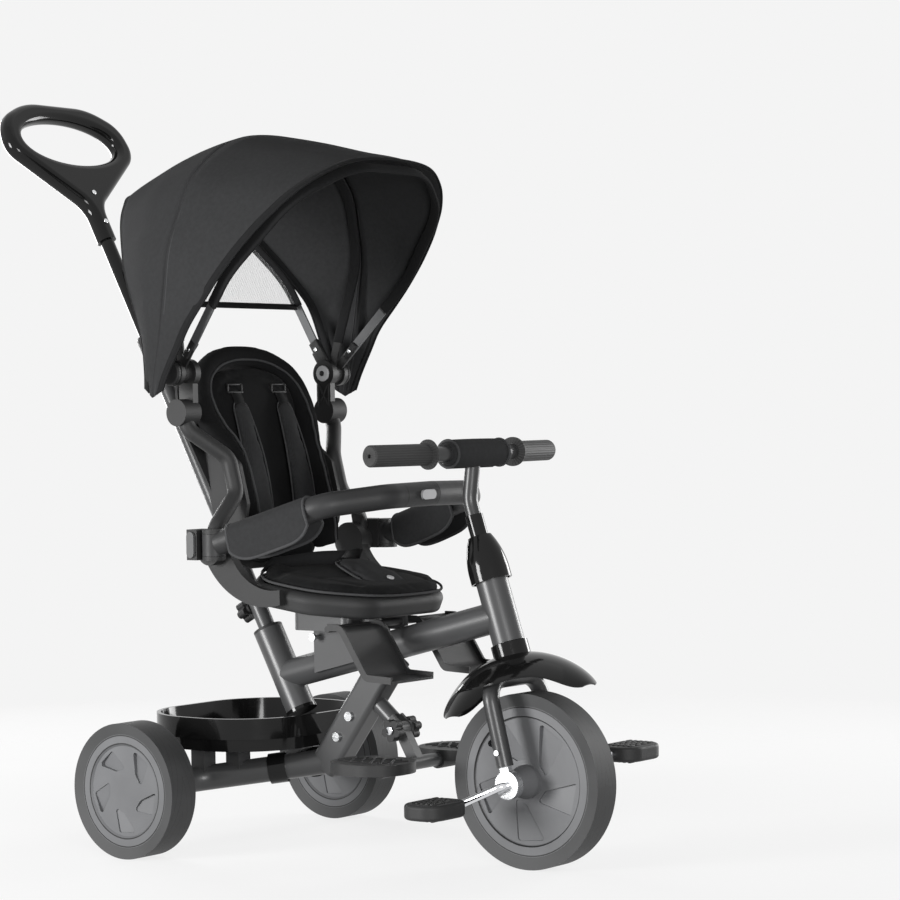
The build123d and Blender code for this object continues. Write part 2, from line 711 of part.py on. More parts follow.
with BuildPart() as basket:
    basket_middle = spot((BASKET_FRONT + BASKET_REAR) / 2, 0, BASKET_FLOOR_Z)
    tray_height = BASKET_TOP_Z - BASKET_FLOOR_Z
    draft = tray_height * tan(radians(BASKET_TAPER))
    length = BASKET_FRONT - BASKET_REAR - 2 * draft
    width = 2 * BASKET_HALF - 2 * draft
    with BuildSketch(Plane(basket_middle)):
        RectangleRounded(length, width, BASKET_CORNER)
    extrude(amount=tray_height, taper=-BASKET_TAPER)
    band_plane = Plane(basket_middle + Vector(0, 0, tray_height - BASKET_BAND))
    with BuildSketch(band_plane):
        flare = 2 * draft + BASKET_LIP
        RectangleRounded(length + flare, width + flare, BASKET_CORNER + draft)
    extrude(amount=BASKET_BAND)
    with BuildSketch(Plane(basket_middle + Vector(0, 0, BASKET_WALL)), mode=Mode.PRIVATE) as cavity:
        RectangleRounded(length - 2 * BASKET_WALL, width - 2 * BASKET_WALL, BASKET_CORNER - BASKET_WALL)
    extrude(cavity.sketch, amount=tray_height, taper=-BASKET_TAPER, mode=Mode.SUBTRACT)
basket.part.label = "basket"
export_step(basket.part, "parts/basket.step")

# Steering
with BuildPart() as fork:
    crown = FORK_CROWN_R
    legs = [
        fork_place(1, FORK_END_R),
        fork_place(1, crown),
        fork_place(-1, crown),
        fork_place(-1, FORK_END_R),
    ]
    rod(legs, FORK_R, FORK_BEND)
    steerer_foot = steer_plane(fork_place(1, crown).Z)
    steerer_rise = (HEAD_TOP_Z - fork_place(1, crown).Z) / cos(radians(STEER_TILT))
    ring(steerer_foot, STEERER_R, steerer_rise)
    rod(legs, FORK_R - FORK_WALL, FORK_BEND, mode=Mode.SUBTRACT)
    rod(STEM_ROUTE[:2], STEM_R, mode=Mode.SUBTRACT)
    for name, side in SIDES:
        place = fork_place(side, FORK_SCREW_R)
        ring(Plane(place, z_dir=(0, side, 0)), SCREW_HEAD_R / 2, 2 * FORK_R, mode=Mode.SUBTRACT)
fork.part.label = "fork"
export_step(fork.part, "parts/fork.step")

with BuildPart() as fork_dropouts:
    for name, side in SIDES:
        cup_plane = side_plane(0, side * FORK_HALF - CUP_WIDTH / 2, FRONT_WHEEL_R)
        ring(cup_plane, CUP_R, CUP_WIDTH)
        neck_foot = fork_place(side, 0)
        neck_way = fork_place(side, FORK_END_R) - neck_foot
        neck_plane = Plane(neck_foot, x_dir=(0, 1, 0), z_dir=neck_way)
        with BuildSketch(neck_plane, mode=Mode.PRIVATE) as neck:
            Rectangle(NECK_THICK, NECK_WIDTH)
        extrude(neck.sketch, amount=FORK_END_R)
        ring(along(neck_plane, FORK_END_R), FORK_R - FORK_WALL, FORK_R)
        ring(cup_plane, CRANK_ROD_R + RUN_FIT, CUP_WIDTH, mode=Mode.SUBTRACT)
        place = fork_place(side, FORK_SCREW_R)
        wall = Plane(place + Vector(0, side * (FORK_R - FORK_WALL - SCREW_SINK), 0), z_dir=(0, side, 0))
        ring(wall, SCREW_HEAD_R / 2, FORK_WALL + SCREW_SINK)
        ring(along(wall, FORK_WALL + SCREW_SINK), SCREW_HEAD_R, SCREW_HEAD)
fork_dropouts.part.label = "fork_dropouts"
export_step(fork_dropouts.part, "parts/fork_dropouts.step")

def guard_section(angle, half, crown, side_drop):
    """An arched strip across the mudguard, in the plane through the axle at an angle."""
    turn = radians(angle)
    plane = Plane(origin=FRONT_AXLE, x_dir=(0, 1, 0), z_dir=(sin(turn), 0, -cos(turn)))
    up = 1 if plane.y_dir.Z > 0 else -1
    with BuildSketch(plane, mode=Mode.PRIVATE) as section:
        with BuildLine():
            outer = ThreePointArc(
                (-half, up * (crown - side_drop)), (0, up * crown), (half, up * (crown - side_drop))
            )
            low = crown - GUARD_WALL
            inner = ThreePointArc(
                (half, up * (low - side_drop)), (0, up * low), (-half, up * (low - side_drop))
            )
            Line(outer @ 1, inner @ 0)
            Line(inner @ 1, outer @ 0)
        make_face()
    return section.sketch


with BuildPart() as mudguard:
    loft([guard_section(*row) for row in GUARD_SECTIONS])
    collar_foot = steer_plane(GUARD_COLLAR_Z)
    collar_rise = (HEAD_BOTTOM_Z - GUARD_COLLAR_Z) / cos(radians(STEER_TILT)) - GUARD_COLLAR_GAP
    ring(along(collar_foot, -GUARD_COLLAR_SINK), GUARD_COLLAR_R, collar_rise + GUARD_COLLAR_SINK)
    ring(along(collar_foot, -GUARD_CUT), STEERER_R + RUN_FIT, 2 * GUARD_CUT, mode=Mode.SUBTRACT)
mudguard.part.label = "mudguard"
export_step(mudguard.part, "parts/mudguard.step")

with BuildPart() as stem_cover:
    cover_foot = along(steer_plane(HEAD_TOP_Z), -COVER_DROP)
    cover_rise = (COVER_TOP_Z - HEAD_TOP_Z) / cos(radians(STEER_TILT)) + COVER_DROP
    sleeve_rise = (SLEEVE_TOP_Z - HEAD_TOP_Z) / cos(radians(STEER_TILT)) + COVER_DROP
    profile_plane = Plane(origin=cover_foot.origin, x_dir=cover_foot.x_dir, z_dir=-cover_foot.y_dir)
    inner_r = COVER_R - COVER_WALL
    cover_turn = (cover_rise - COVER_STRAIGHT) * COVER_TURN_SHARE + COVER_STRAIGHT
    cover_mid_r = (COVER_R + COVER_TOP_R) / 2 + COVER_BELLY
    with BuildSketch(profile_plane):
        with BuildLine():
            Polyline((inner_r, 0), (COVER_R, 0), (COVER_R, COVER_STRAIGHT))
            ThreePointArc((COVER_R, COVER_STRAIGHT), (cover_mid_r, cover_turn), (COVER_TOP_R, cover_rise))
            Polyline(
                (COVER_TOP_R, cover_rise),
                (SLEEVE_R, cover_rise),
                (SLEEVE_R, sleeve_rise),
                (STEM_R, sleeve_rise),
                (STEM_R, cover_rise - COVER_WALL),
                (COVER_TOP_R - COVER_WALL, cover_rise - COVER_WALL),
                (inner_r, COVER_STRAIGHT),
                (inner_r, 0),
            )
        make_face()
    revolve(axis=Axis(cover_foot.origin, cover_foot.z_dir))
stem_cover.part.label = "stem_cover"
export_step(stem_cover.part, "parts/stem_cover.step")

BAR_ROUTE = [
    spot(BAR_END_X, BAR_HALF, BAR_Z),
    spot(BAR_AHEAD, BAR_STRAIGHT, BAR_Z),
    spot(BAR_AHEAD, -BAR_STRAIGHT, BAR_Z),
    spot(BAR_END_X, -BAR_HALF, BAR_Z),
]

with BuildPart() as handlebar:
    rod(BAR_ROUTE, BAR_R, BAR_BEND)
    rod(STEM_ROUTE, STEM_R, STEM_BEND)
    rod(BAR_ROUTE, BAR_R - BAR_WALL, BAR_BEND, mode=Mode.SUBTRACT)
handlebar.part.label = "handlebar"
export_step(handlebar.part, "parts/handlebar.step")

with BuildPart() as grips:
    for end, elbow in ((BAR_ROUTE[0], BAR_ROUTE[1]), (BAR_ROUTE[3], BAR_ROUTE[2])):
        grip_plane = Plane(end, z_dir=elbow - end)
        grip_top = GRIP_LENGTH + GRIP_END
        turned(
            along(grip_plane, -GRIP_END),
            [
                (GRIP_HOLE_R, 0),
                (GRIP_R - GRIP_CHAMFER, 0),
                (GRIP_R, GRIP_CHAMFER),
                (GRIP_R, grip_top - GRIP_FLANGE),
                (GRIP_FLANGE_R, grip_top - GRIP_FLANGE + GRIP_FLANGE_ROUND),
                (GRIP_FLANGE_R, grip_top - GRIP_FLANGE_ROUND),
                (BAR_R + GRIP_CHAMFER, grip_top),
                (BAR_R, grip_top),
                (BAR_R, GRIP_END),
                (GRIP_HOLE_R, GRIP_END),
            ],
        )
grips.part.label = "grips"
export_step(grips.part, "parts/grips.step")

with BuildPart() as handlebar_pad:
    pad_plane = side_plane(BAR_AHEAD, -PAD_HALF, BAR_Z)
    turned(
        pad_plane,
        [
            (BAR_R, 0),
            (PAD_R - PAD_END_DROP, 0),
            (PAD_R - PAD_SHOULDER_DROP, PAD_SHOULDER),
            (PAD_R, PAD_HALF),
            (PAD_R - PAD_SHOULDER_DROP, 2 * PAD_HALF - PAD_SHOULDER),
            (PAD_R - PAD_END_DROP, 2 * PAD_HALF),
            (BAR_R, 2 * PAD_HALF),
        ],
    )
    rod(STEM_ROUTE, STEM_R, STEM_BEND, mode=Mode.SUBTRACT)
handlebar_pad.part.label = "handlebar_pad"
export_step(handlebar_pad.part, "parts/handlebar_pad.step")


# Wheels
def tyre(ahead, left, radius, rim, width):
    """A foam tyre ring with rounded shoulders."""
    plane = side_plane(ahead, left - width / 2, radius)
    inset = RIM_INSET
    turned(plane, [(rim, inset), (radius, 0), (radius, width), (rim, width - inset)], TYRE_SHOULDER)


# Depth at each corner of a window, from the root of its leading edge round to the trailing one
WINDOW_DEPTHS = (WINDOW_LEAD_DEPTH, WINDOW_LEAD_DEPTH, WINDOW_DEPTH, WINDOW_DEPTH)


def wheel_windows(ahead, face_y, up, outward, rim):
    """Swept recesses in one face of a wheel, each a ramp that deepens from its leading edge."""
    reach = rim - RIM_BAND - WINDOW_RIM_GAP
    root = HUB_R + WINDOW_HUB_GAP
    corners = (
        (root, WINDOW_ROOT_ANGLES[0]),
        (reach, WINDOW_TIP_ANGLES[0]),
        (reach, WINDOW_TIP_ANGLES[1]),
        (root, WINDOW_ROOT_ANGLES[1]),
    )
    for step in range(WINDOW_COUNT):
        turn = 360 / WINDOW_COUNT * step
        places = []
        for (radius, angle), depth in zip(corners, WINDOW_DEPTHS):
            way = radians(angle + turn)
            y = face_y - outward * depth
            places.append(spot(ahead + radius * cos(way), y, up + radius * sin(way)))
        lead = places[1] - places[0]
        across = places[2] - places[0]
        normal = lead.cross(across)
        if normal.Y * outward < 0:
            normal = -normal
        ramp = Plane(places[0], x_dir=lead, z_dir=normal)
        flat = [ramp.to_local_coords(place) for place in places]
        slab(ramp, [(p.X, p.Y) for p in flat], 2 * WINDOW_DEPTH, WINDOW_CORNER, mode=Mode.SUBTRACT)


with BuildPart() as front_tyre:
    tyre(0, 0, FRONT_WHEEL_R, FRONT_RIM_R, FRONT_TYRE_W)
front_tyre.part.label = "front_tyre"
export_step(front_tyre.part, "parts/front_tyre.step")

with BuildPart() as front_wheel_disc:
    half = FRONT_TYRE_W / 2
    rim_half = half - RIM_INSET
    disc_half = half - DISC_INSET
    inner_rim = FRONT_RIM_R - RIM_BAND
    outline = [
        (CRANK_ROD_R, FRONT_HUB_HALF),
        (HUB_TIP_R, FRONT_HUB_HALF),
        (HUB_R, disc_half + HUB_SHOULDER),
        (HUB_R, disc_half),
        (inner_rim - RIM_CHAMFER, disc_half),
        (inner_rim, rim_half),
        (FRONT_RIM_R, rim_half),
    ]
    turned(side_plane(0, 0, FRONT_WHEEL_R), outline + [(r, -y) for r, y in reversed(outline)])
    for side in (1, -1):
        wheel_windows(0, side * disc_half, FRONT_WHEEL_R, side, FRONT_RIM_R)
front_wheel_disc.part.label = "front_wheel_disc"
export_step(front_wheel_disc.part, "parts/front_wheel_disc.step")

CRANK_LEAN = radians(CRANK_DROP)
PEDAL_BACK = CRANK_RADIUS * cos(CRANK_LEAN)
PEDAL_DOWN = CRANK_RADIUS * sin(CRANK_LEAN)

with BuildPart() as crank:
    throw_y = CRANK_ELBOW_Y + CRANK_SPREAD
    pin_y = PEDAL_INNER_Y + PEDAL_PIN_DEPTH - BODY_GAP
    route = []
    for side in (-1, 1):
        pin = [
            spot(side * PEDAL_BACK, side * pin_y, FRONT_WHEEL_R + side * PEDAL_DOWN),
            spot(side * PEDAL_BACK, side * throw_y, FRONT_WHEEL_R + side * PEDAL_DOWN),
            spot(0, side * CRANK_ELBOW_Y, FRONT_WHEEL_R),
        ]
        route += pin if side < 0 else pin[::-1]
    rod(route, CRANK_ROD_R, CRANK_BEND)
crank.part.label = "crank"
export_step(crank.part, "parts/crank.step")

for name, side in SIDES:
    with BuildPart() as pedal:
        pedal_plane = side_plane(
            side * PEDAL_BACK, side * PEDAL_INNER_Y, FRONT_WHEEL_R + side * PEDAL_DOWN
        )
        pedal_middle = pedal_plane.origin + Vector(0, side * PEDAL_WIDTH / 2, 0)
        with BuildSketch(Plane(pedal_middle), mode=Mode.PRIVATE) as sole:
            RectangleRounded(PEDAL_LENGTH, PEDAL_WIDTH, PEDAL_CORNER)
        extrude(sole.sketch, amount=PEDAL_THICK / 2, both=True)
        fillet(pedal.edges().group_by(Axis.Z)[0] + pedal.edges().group_by(Axis.Z)[-1], PEDAL_ROUND)
        ring(pedal_plane, CRANK_ROD_R + RUN_FIT, side * PEDAL_PIN_DEPTH, mode=Mode.SUBTRACT)
    pedal.part.label = f"pedal_{name}"
    export_step(pedal.part, f"parts/pedal_{name}.step")

for name, side in SIDES:
    with BuildPart() as rear_tyre:
        tyre(REAR_AHEAD, side * HALF_TRACK, REAR_WHEEL_R, REAR_RIM_R, REAR_TYRE_W)
    rear_tyre.part.label = f"rear_tyre_{name}"
    export_step(rear_tyre.part, f"parts/rear_tyre_{name}.step")

    with BuildPart() as rear_disc:
        half = REAR_TYRE_W / 2
        rim_half = half - RIM_INSET
        disc_half = half - DISC_INSET
        inner_rim = REAR_RIM_R - RIM_BAND
        plane = Plane(
            origin=spot(REAR_AHEAD, side * HALF_TRACK, REAR_WHEEL_R), x_dir=(1, 0, 0), z_dir=(0, side, 0)
        )
        bore_top = STUB_END_Y - HALF_TRACK + BODY_GAP
        turned(
            plane,
            [
                (STUB_R + RUN_FIT, -half - HUB_INNER_PROUD),
                (HUB_R, -half - HUB_INNER_PROUD),
                (HUB_R, -disc_half),
                (inner_rim - RIM_CHAMFER, -disc_half),
                (inner_rim, -rim_half),
                (REAR_RIM_R, -rim_half),
                (REAR_RIM_R, rim_half),
                (inner_rim, rim_half),
                (inner_rim - RIM_CHAMFER, disc_half),
                (0, disc_half),
                (0, bore_top),
                (STUB_R + RUN_FIT, bore_top),
            ],
        )
        for face in (1, -1):
            wheel_windows(REAR_AHEAD, side * HALF_TRACK + face * disc_half, REAR_WHEEL_R, face, REAR_RIM_R)
    rear_disc.part.label = f"rear_disc_{name}"
    export_step(rear_disc.part, f"parts/rear_disc_{name}.step")

# Push handle
PUSH_TOP = push_plane(SOCKET_TOP_Z)
UPPER_FOOT = PUSH_LOWER_LENGTH - PUSH_TRAVEL - PUSH_OVERLAP

with BuildPart() as push_tube_lower:
    lower_length = PUSH_INSERT + PUSH_LOWER_LENGTH
    ring(along(PUSH_TOP, -PUSH_INSERT), PUSH_LOWER_R, lower_length, PUSH_UPPER_R + RUN_FIT)
push_tube_lower.part.label = "push_tube_lower"
export_step(push_tube_lower.part, "parts/push_tube_lower.step")

with BuildPart() as push_collar:
    collar_plane = along(PUSH_TOP, PUSH_LOWER_LENGTH - COLLAR_TALL)
    ring(collar_plane, COLLAR_OUTER_R, COLLAR_TALL, PUSH_LOWER_R)
    ring(along(collar_plane, COLLAR_TALL), COLLAR_LIP_R, SOCKET_LIP, PUSH_UPPER_R + RUN_FIT)
push_collar.part.label = "push_collar"
export_step(push_collar.part, "parts/push_collar.step")

with BuildPart() as push_shaft:
    shaft_foot = along(push_plane(SOCKET_BOTTOM_Z), BODY_GAP)
    ring(shaft_foot, SHAFT_R, SOCKET_LENGTH + SHAFT_PROUD)
    ring(along(PUSH_TOP, SHAFT_PROUD - SHAFT_HEAD_DROP), PUSH_UPPER_R, SHAFT_HEAD)
push_shaft.part.label = "push_shaft"
export_step(push_shaft.part, "parts/push_shaft.step")

with BuildPart() as push_tube_upper:
    upper_length = NECK_ALONG + HOLE_LOW / 2 - UPPER_FOOT
    ring(along(PUSH_TOP, UPPER_FOOT), PUSH_UPPER_R, upper_length, PUSH_UPPER_R - BAR_WALL)
push_tube_upper.part.label = "push_tube_upper"
export_step(push_tube_upper.part, "parts/push_tube_upper.step")

with BuildPart() as push_loop:
    neck = along(PUSH_TOP, NECK_ALONG)
    loop_plane = Plane(origin=neck.origin, x_dir=(0, 1, 0), z_dir=neck.x_dir)
    up = 1 if loop_plane.y_dir.Z > 0 else -1
    with BuildSketch(loop_plane, mode=Mode.PRIVATE) as loop:
        with BuildLine():
            half = [(LOOP_NECK_HALF, 0)] + [(y, up * rise) for y, rise, bend in LOOP_CORNERS]
            bends = [bend for y, rise, bend in LOOP_CORNERS]
            rim = FilletPolyline(*half, *[(-y, v) for y, v in reversed(half)], radius=bends + bends[::-1])
            Line(rim @ 1, rim @ 0)
        make_face()
        with Locations((0, up * (HOLE_LOW + HOLE_HIGH) / 2)):
            Ellipse(HOLE_HALF, (HOLE_HIGH - HOLE_LOW) / 2, mode=Mode.SUBTRACT)
    extrude(loop.sketch, amount=LOOP_THICK / 2, both=True)
    foot_edges = push_loop.edges().group_by(Axis(neck.origin, neck.z_dir))[0]
    flats = push_loop.faces().filter_by(loop_plane)
    fillet([edge for flat in flats for edge in flat.edges() if edge not in foot_edges], LOOP_ROUND)
    ring(neck, PUSH_UPPER_R, HOLE_LOW / 2, mode=Mode.SUBTRACT)
push_loop.part.label = "push_loop"
export_step(push_loop.part, "parts/push_loop.step")


def star_knob(plane):
    """A hand knob with round lobes that stands on a plane."""
    with BuildSketch(plane, mode=Mode.PRIVATE) as star:
        Circle(KNOB_R - KNOB_LOBE_R + KNOB_WEB)
        with PolarLocations(KNOB_R - KNOB_LOBE_R, KNOB_LOBES):
            Circle(KNOB_LOBE_R)
    extrude(star.sketch, amount=KNOB_THICK)


with BuildPart() as push_knob:
    knob_foot = along(PUSH_TOP, PUSH_KNOB_ALONG)
    outward = -neck.x_dir
    face = Plane(knob_foot.origin + outward * (PUSH_LOWER_R + BODY_GAP), z_dir=outward)
    ring(face, KNOB_R / 2, KNOB_PROUD)
    star_knob(along(face, KNOB_PROUD))
push_knob.part.label = "push_knob"
export_step(push_knob.part, "parts/push_knob.step")

# Seat
PAN_BOTTOM = along(SEAT, -PAN_THICK)


def seat_outline(plane, points, corner, inset=0.0):
    """A rounded seat outline on a plane, drawn in by an inset."""
    with BuildSketch(plane, mode=Mode.PRIVATE) as outline:
        with BuildLine():
            Polyline(*mirrored(points), close=True)
        make_face()
        fillet(outline.vertices(), corner)
        if inset > 0:
            offset(amount=-inset, mode=Mode.REPLACE)
    return outline.sketch


with BuildPart() as seat_pan:
    extrude(seat_outline(SEAT, PAN_OUTLINE, PAN_CORNER), amount=-PAN_THICK, taper=PAN_DRAFT)
    dish = seat_outline(SEAT, PAN_OUTLINE, PAN_CORNER, PAN_RIM)
    extrude(dish, amount=PAN_FLOOR - PAN_THICK, mode=Mode.SUBTRACT)
    pan_top = seat_pan.faces().sort_by(Axis(SEAT.origin, SEAT.z_dir))[-1]
    fillet(pan_top.outer_wire().edges(), PAN_ROUND)
    pan_foot = seat_pan.faces().sort_by(Axis(SEAT.origin, SEAT.z_dir))[0]
    fillet(pan_foot.outer_wire().edges(), PAN_FOOT_ROUND)
seat_pan.part.label = "seat_pan"
export_step(seat_pan.part, "parts/seat_pan.step")

with BuildPart() as seat_plate:
    plate_middle = (PLATE_FRONT + PLATE_REAR) / 2
    plate_low = SADDLE_TOP_Z
    plate_rise = SEAT_TOP_Z - plate_low
    with BuildSketch(Plane(spot(plate_middle, 0, plate_low))) as plate:
        RectangleRounded(PLATE_FRONT - PLATE_REAR, 2 * PLATE_HALF, PLATE_CORNER)
    extrude(amount=plate_rise)
    for name, side in SIDES:
        ear_y = side * (EAR_INNER_Y + EAR_THICK / 2)
        ear = [
            (PLATE_FRONT - EAR_LAP, LEG_HINGE[1] - EAR_BELOW),
            (LEG_HINGE[0], LEG_HINGE[1] - EAR_BELOW),
            (LEG_HINGE[0] + EAR_LAP, LEG_HINGE[1] - EAR_CHAMFER),
            (LEG_HINGE[0] + EAR_LAP, SEAT_TOP_Z),
            (PLATE_FRONT - EAR_LAP, SEAT_TOP_Z),
        ]
        ear_plane = Plane(origin=(FRONT_AXLE_X, ear_y, 0), x_dir=(1, 0, 0), z_dir=(0, -1, 0))
        slab(ear_plane, ear, EAR_THICK / 2, both=True)
    ring(side_plane(LEG_HINGE[0], -CHUTE_OUTER_Y, LEG_HINGE[1]), LEG_ROD_R + RUN_FIT, 2 * CHUTE_OUTER_Y,
         mode=Mode.SUBTRACT)
    split(bisect_by=PAN_BOTTOM, keep=Keep.BOTTOM)
seat_plate.part.label = "seat_plate"
export_step(seat_plate.part, "parts/seat_plate.step")


def on_seat(ahead, up):
    """A plane parallel to the seat's top, moved along and off it."""
    return Plane(
        origin=SEAT.origin + SEAT.x_dir * ahead + SEAT.z_dir * up, x_dir=SEAT.x_dir, z_dir=SEAT.z_dir
    )


with BuildPart() as seat_pad:
    floor = PAN_FLOOR - PAN_THICK
    tall = CUSHION_PROUD - floor
    layers = []
    for share, inset in CUSHION_LAYERS:
        layers.append(seat_outline(on_seat(0, floor + tall * share), CUSHION_OUTLINE, CUSHION_CORNER, inset))
    loft(layers)
seat_pad.part.label = "seat_pad"
export_step(seat_pad.part, "parts/seat_pad.step")

with BuildPart() as crotch_pad:
    lean = radians(SEAT_TILT + CROTCH_TILT)
    rise = CROTCH_LIFT + CROTCH_LENGTH / 2 * sin(radians(CROTCH_TILT))
    base = on_seat(CROTCH_AHEAD, CUSHION_PROUD + rise)
    flap = Plane(origin=base.origin, x_dir=(cos(lean), 0, -sin(lean)), z_dir=(sin(lean), 0, cos(lean)))
    layers = []
    for share, shrink, corner in CROTCH_LAYERS:
        face = along(flap, CROTCH_THICK * share)
        layers.append((face, CROTCH_LENGTH - shrink, CROTCH_WIDTH - shrink, corner))
    pillow(layers)
crotch_pad.part.label = "crotch_pad"
export_step(crotch_pad.part, "parts/crotch_pad.step")

CLIP_LOW_Z = CLIP_Z - CLIP_BARREL / 2


def button_seat(side):
    """The floor of a release button's pocket in the clip's outer face: x runs up, z runs outward."""
    place = spot(CLIP_AHEAD - CLIP_REACH - CLIP_DEEP / 2, side * (CLIP_Y + CLIP_OUT - BUTTON_DEPTH), CLIP_Z)
    return Plane(origin=place, x_dir=(0, 0, 1), z_dir=(0, side, 0))


with BuildPart() as recline_housings:
    for name, side in SIDES:
        inner = HOUSING_INNER_Y if side > 0 else -HOUSING_OUTER_Y
        width = HOUSING_OUTER_Y - HOUSING_INNER_Y
        ring(side_plane(HINGE_AHEAD, inner, HINGE_Z), HOUSING_R, width)
        ear_plane = Plane(
            origin=(FRONT_AXLE_X, side * HOUSING_INNER_Y, 0), x_dir=(1, 0, 0), z_dir=(0, -1, 0)
        )
        with BuildSketch(ear_plane, mode=Mode.PRIVATE) as ear:
            with BuildLine():
                top = ThreePointArc(*HOUSING_TOP_CURVE)
                foot = ThreePointArc(*HOUSING_FOOT_CURVE)
                Line(top @ 1, foot @ 0)
                Line(foot @ 1, top @ 0)
            make_face()
        extrude(ear.sketch, amount=-side * width)
        pin_start = HOUSING_OUTER_Y if side > 0 else -CLIP_Y
        ring(side_plane(HINGE_AHEAD, pin_start, HINGE_Z), HINGE_PIN_R, CLIP_Y - HOUSING_OUTER_Y)
        height = CLIP_BARREL + 2 * CLIP_PLATE + 2 * BODY_GAP
        block_inner = ARM_HUB_OUTER_Y + BODY_GAP
        block_outer = CLIP_Y + CLIP_OUT
        back_x = CLIP_AHEAD - CLIP_REACH - CLIP_DEEP
        with Locations(spot(back_x + CLIP_DEEP / 2, side * (block_inner + block_outer) / 2, CLIP_Z)):
            Box(CLIP_DEEP, block_outer - block_inner, height)
        with Locations(spot(CLIP_AHEAD - CLIP_REACH / 2, side * (block_inner + CLIP_Y) / 2, CLIP_Z)):
            Box(CLIP_REACH, CLIP_Y - block_inner, height)
        ring(Plane(spot(CLIP_AHEAD, side * CLIP_Y, CLIP_Z - height / 2)), CLIP_R, height)
        ring(
            Plane(spot(CLIP_AHEAD, side * CLIP_Y, CLIP_LOW_Z - BODY_GAP)),
            CLIP_R + BODY_GAP,
            CLIP_BARREL + 2 * BODY_GAP,
            CLIP_PIN_R,
            mode=Mode.SUBTRACT,
        )
        with BuildSketch(button_seat(side), mode=Mode.PRIVATE) as pocket:
            SlotOverall(BUTTON_LENGTH + 2 * BODY_GAP, BUTTON_WIDTH + 2 * BODY_GAP)
        extrude(pocket.sketch, amount=2 * BUTTON_DEPTH, mode=Mode.SUBTRACT)
    pan_face = seat_outline(SEAT, PAN_OUTLINE, PAN_CORNER)
    extrude(pan_face, amount=-PAN_THICK, taper=PAN_DRAFT, mode=Mode.SUBTRACT)
recline_housings.part.label = "recline_housings"
export_step(recline_housings.part, "parts/recline_housings.step")

# Safety bar
for name, side in SIDES:
    clip = spot(CLIP_AHEAD, side * CLIP_Y, CLIP_Z)
    corner = spot(SAFETY_CORNER[0], side * SAFETY_CORNER[1], SAFETY_CORNER[2])
    bow = spot(SAFETY_BOW[0], side * SAFETY_BOW[1], SAFETY_BOW[2])
    front = spot(SAFETY_FRONT[0], -side * SAFETY_R, SAFETY_FRONT[1])
    bar_way = (corner - clip).normalized()
    with BuildPart() as bar_half:
        rod([clip + bar_way * CLIP_ROOT, corner, bow, front], SAFETY_R, SAFETY_BEND)
        split(bisect_by=Plane(origin=(0, side * SAFETY_GAP / 2, 0), z_dir=(0, side, 0)), keep=Keep.TOP)
        ring(Plane(clip - Vector(0, 0, CLIP_BARREL / 2)), CLIP_R, CLIP_BARREL)
        clear = CLIP_R + 2 * BODY_GAP
        for base in (CLIP_BARREL / 2, -CLIP_BARREL / 2 - SAFETY_R):
            ring(Plane(clip + Vector(0, 0, base)), clear, SAFETY_R, mode=Mode.SUBTRACT)
        below = Plane(clip - Vector(0, 0, CLIP_BARREL))
        ring(below, CLIP_PIN_R + RUN_FIT, 2 * CLIP_BARREL, mode=Mode.SUBTRACT)
        if side < 0:
            way = (front - bow).normalized()
            lock_out = Vector(way.Y, -way.X, 0).normalized()
            lock_place = front - way * (SAFETY_R + LOCK_Y) + lock_out * (SAFETY_R - LOCK_DEPTH)
            lock_plane = Plane(lock_place, x_dir=way, z_dir=lock_out)
            with BuildSketch(lock_plane, mode=Mode.PRIVATE) as slot:
                SlotOverall(LOCK_LENGTH + 2 * BODY_GAP, LOCK_WIDTH + 2 * BODY_GAP)
            extrude(slot.sketch, amount=2 * LOCK_DEPTH, mode=Mode.SUBTRACT)
    bar_half.part.label = f"bar_half_{name}"
    export_step(bar_half.part, f"parts/bar_half_{name}.step")

    with BuildPart() as bar_pad:
        run = (corner - clip).length
        start = clip + bar_way * (run * DRAPE_REAR)
        length = run * (DRAPE_FRONT - DRAPE_REAR)
        drape_plane = Plane(start, x_dir=bar_way.cross(Vector(0, 0, 1)).normalized(), z_dir=bar_way)
        up = 1 if drape_plane.y_dir.Z > 0 else -1
        inner = SAFETY_R + BODY_GAP
        outer = inner + DRAPE_SHEET
        with BuildSketch(drape_plane, mode=Mode.PRIVATE) as drape:
            with BuildLine():
                over = ThreePointArc((-outer, 0), (0, up * outer), (outer, 0))
                under = ThreePointArc((inner, 0), (0, up * inner), (-inner, 0))
                Polyline(over @ 1, (outer, -up * DRAPE_HANG), (inner, -up * DRAPE_HANG), under @ 0)
                Polyline(under @ 1, (-inner, -up * DRAPE_HANG), (-outer, -up * DRAPE_HANG), over @ 0)
            make_face()
        extrude(drape.sketch, amount=length)
    bar_pad.part.label = f"bar_pad_{name}"
    export_step(bar_pad.part, f"parts/bar_pad_{name}.step")

    with BuildPart() as bar_button:
        with BuildSketch(along(button_seat(side), BUTTON_TRAVEL + BODY_GAP), mode=Mode.PRIVATE) as capsule:
            SlotOverall(BUTTON_LENGTH, BUTTON_WIDTH)
        extrude(capsule.sketch, amount=BUTTON_DEPTH + BUTTON_PROUD - BUTTON_TRAVEL - BODY_GAP)
    bar_button.part.label = f"bar_button_{name}"
    export_step(bar_button.part, f"parts/bar_button_{name}.step")

with BuildPart() as bar_lock_button:
    with BuildSketch(along(lock_plane, LOCK_TRAVEL + BODY_GAP), mode=Mode.PRIVATE) as slot:
        SlotOverall(LOCK_LENGTH, LOCK_WIDTH)
    extrude(slot.sketch, amount=LOCK_DEPTH + LOCK_PROUD - LOCK_TRAVEL - BODY_GAP)
bar_lock_button.part.label = "bar_lock_button"
export_step(bar_lock_button.part, "parts/bar_lock_button.step")

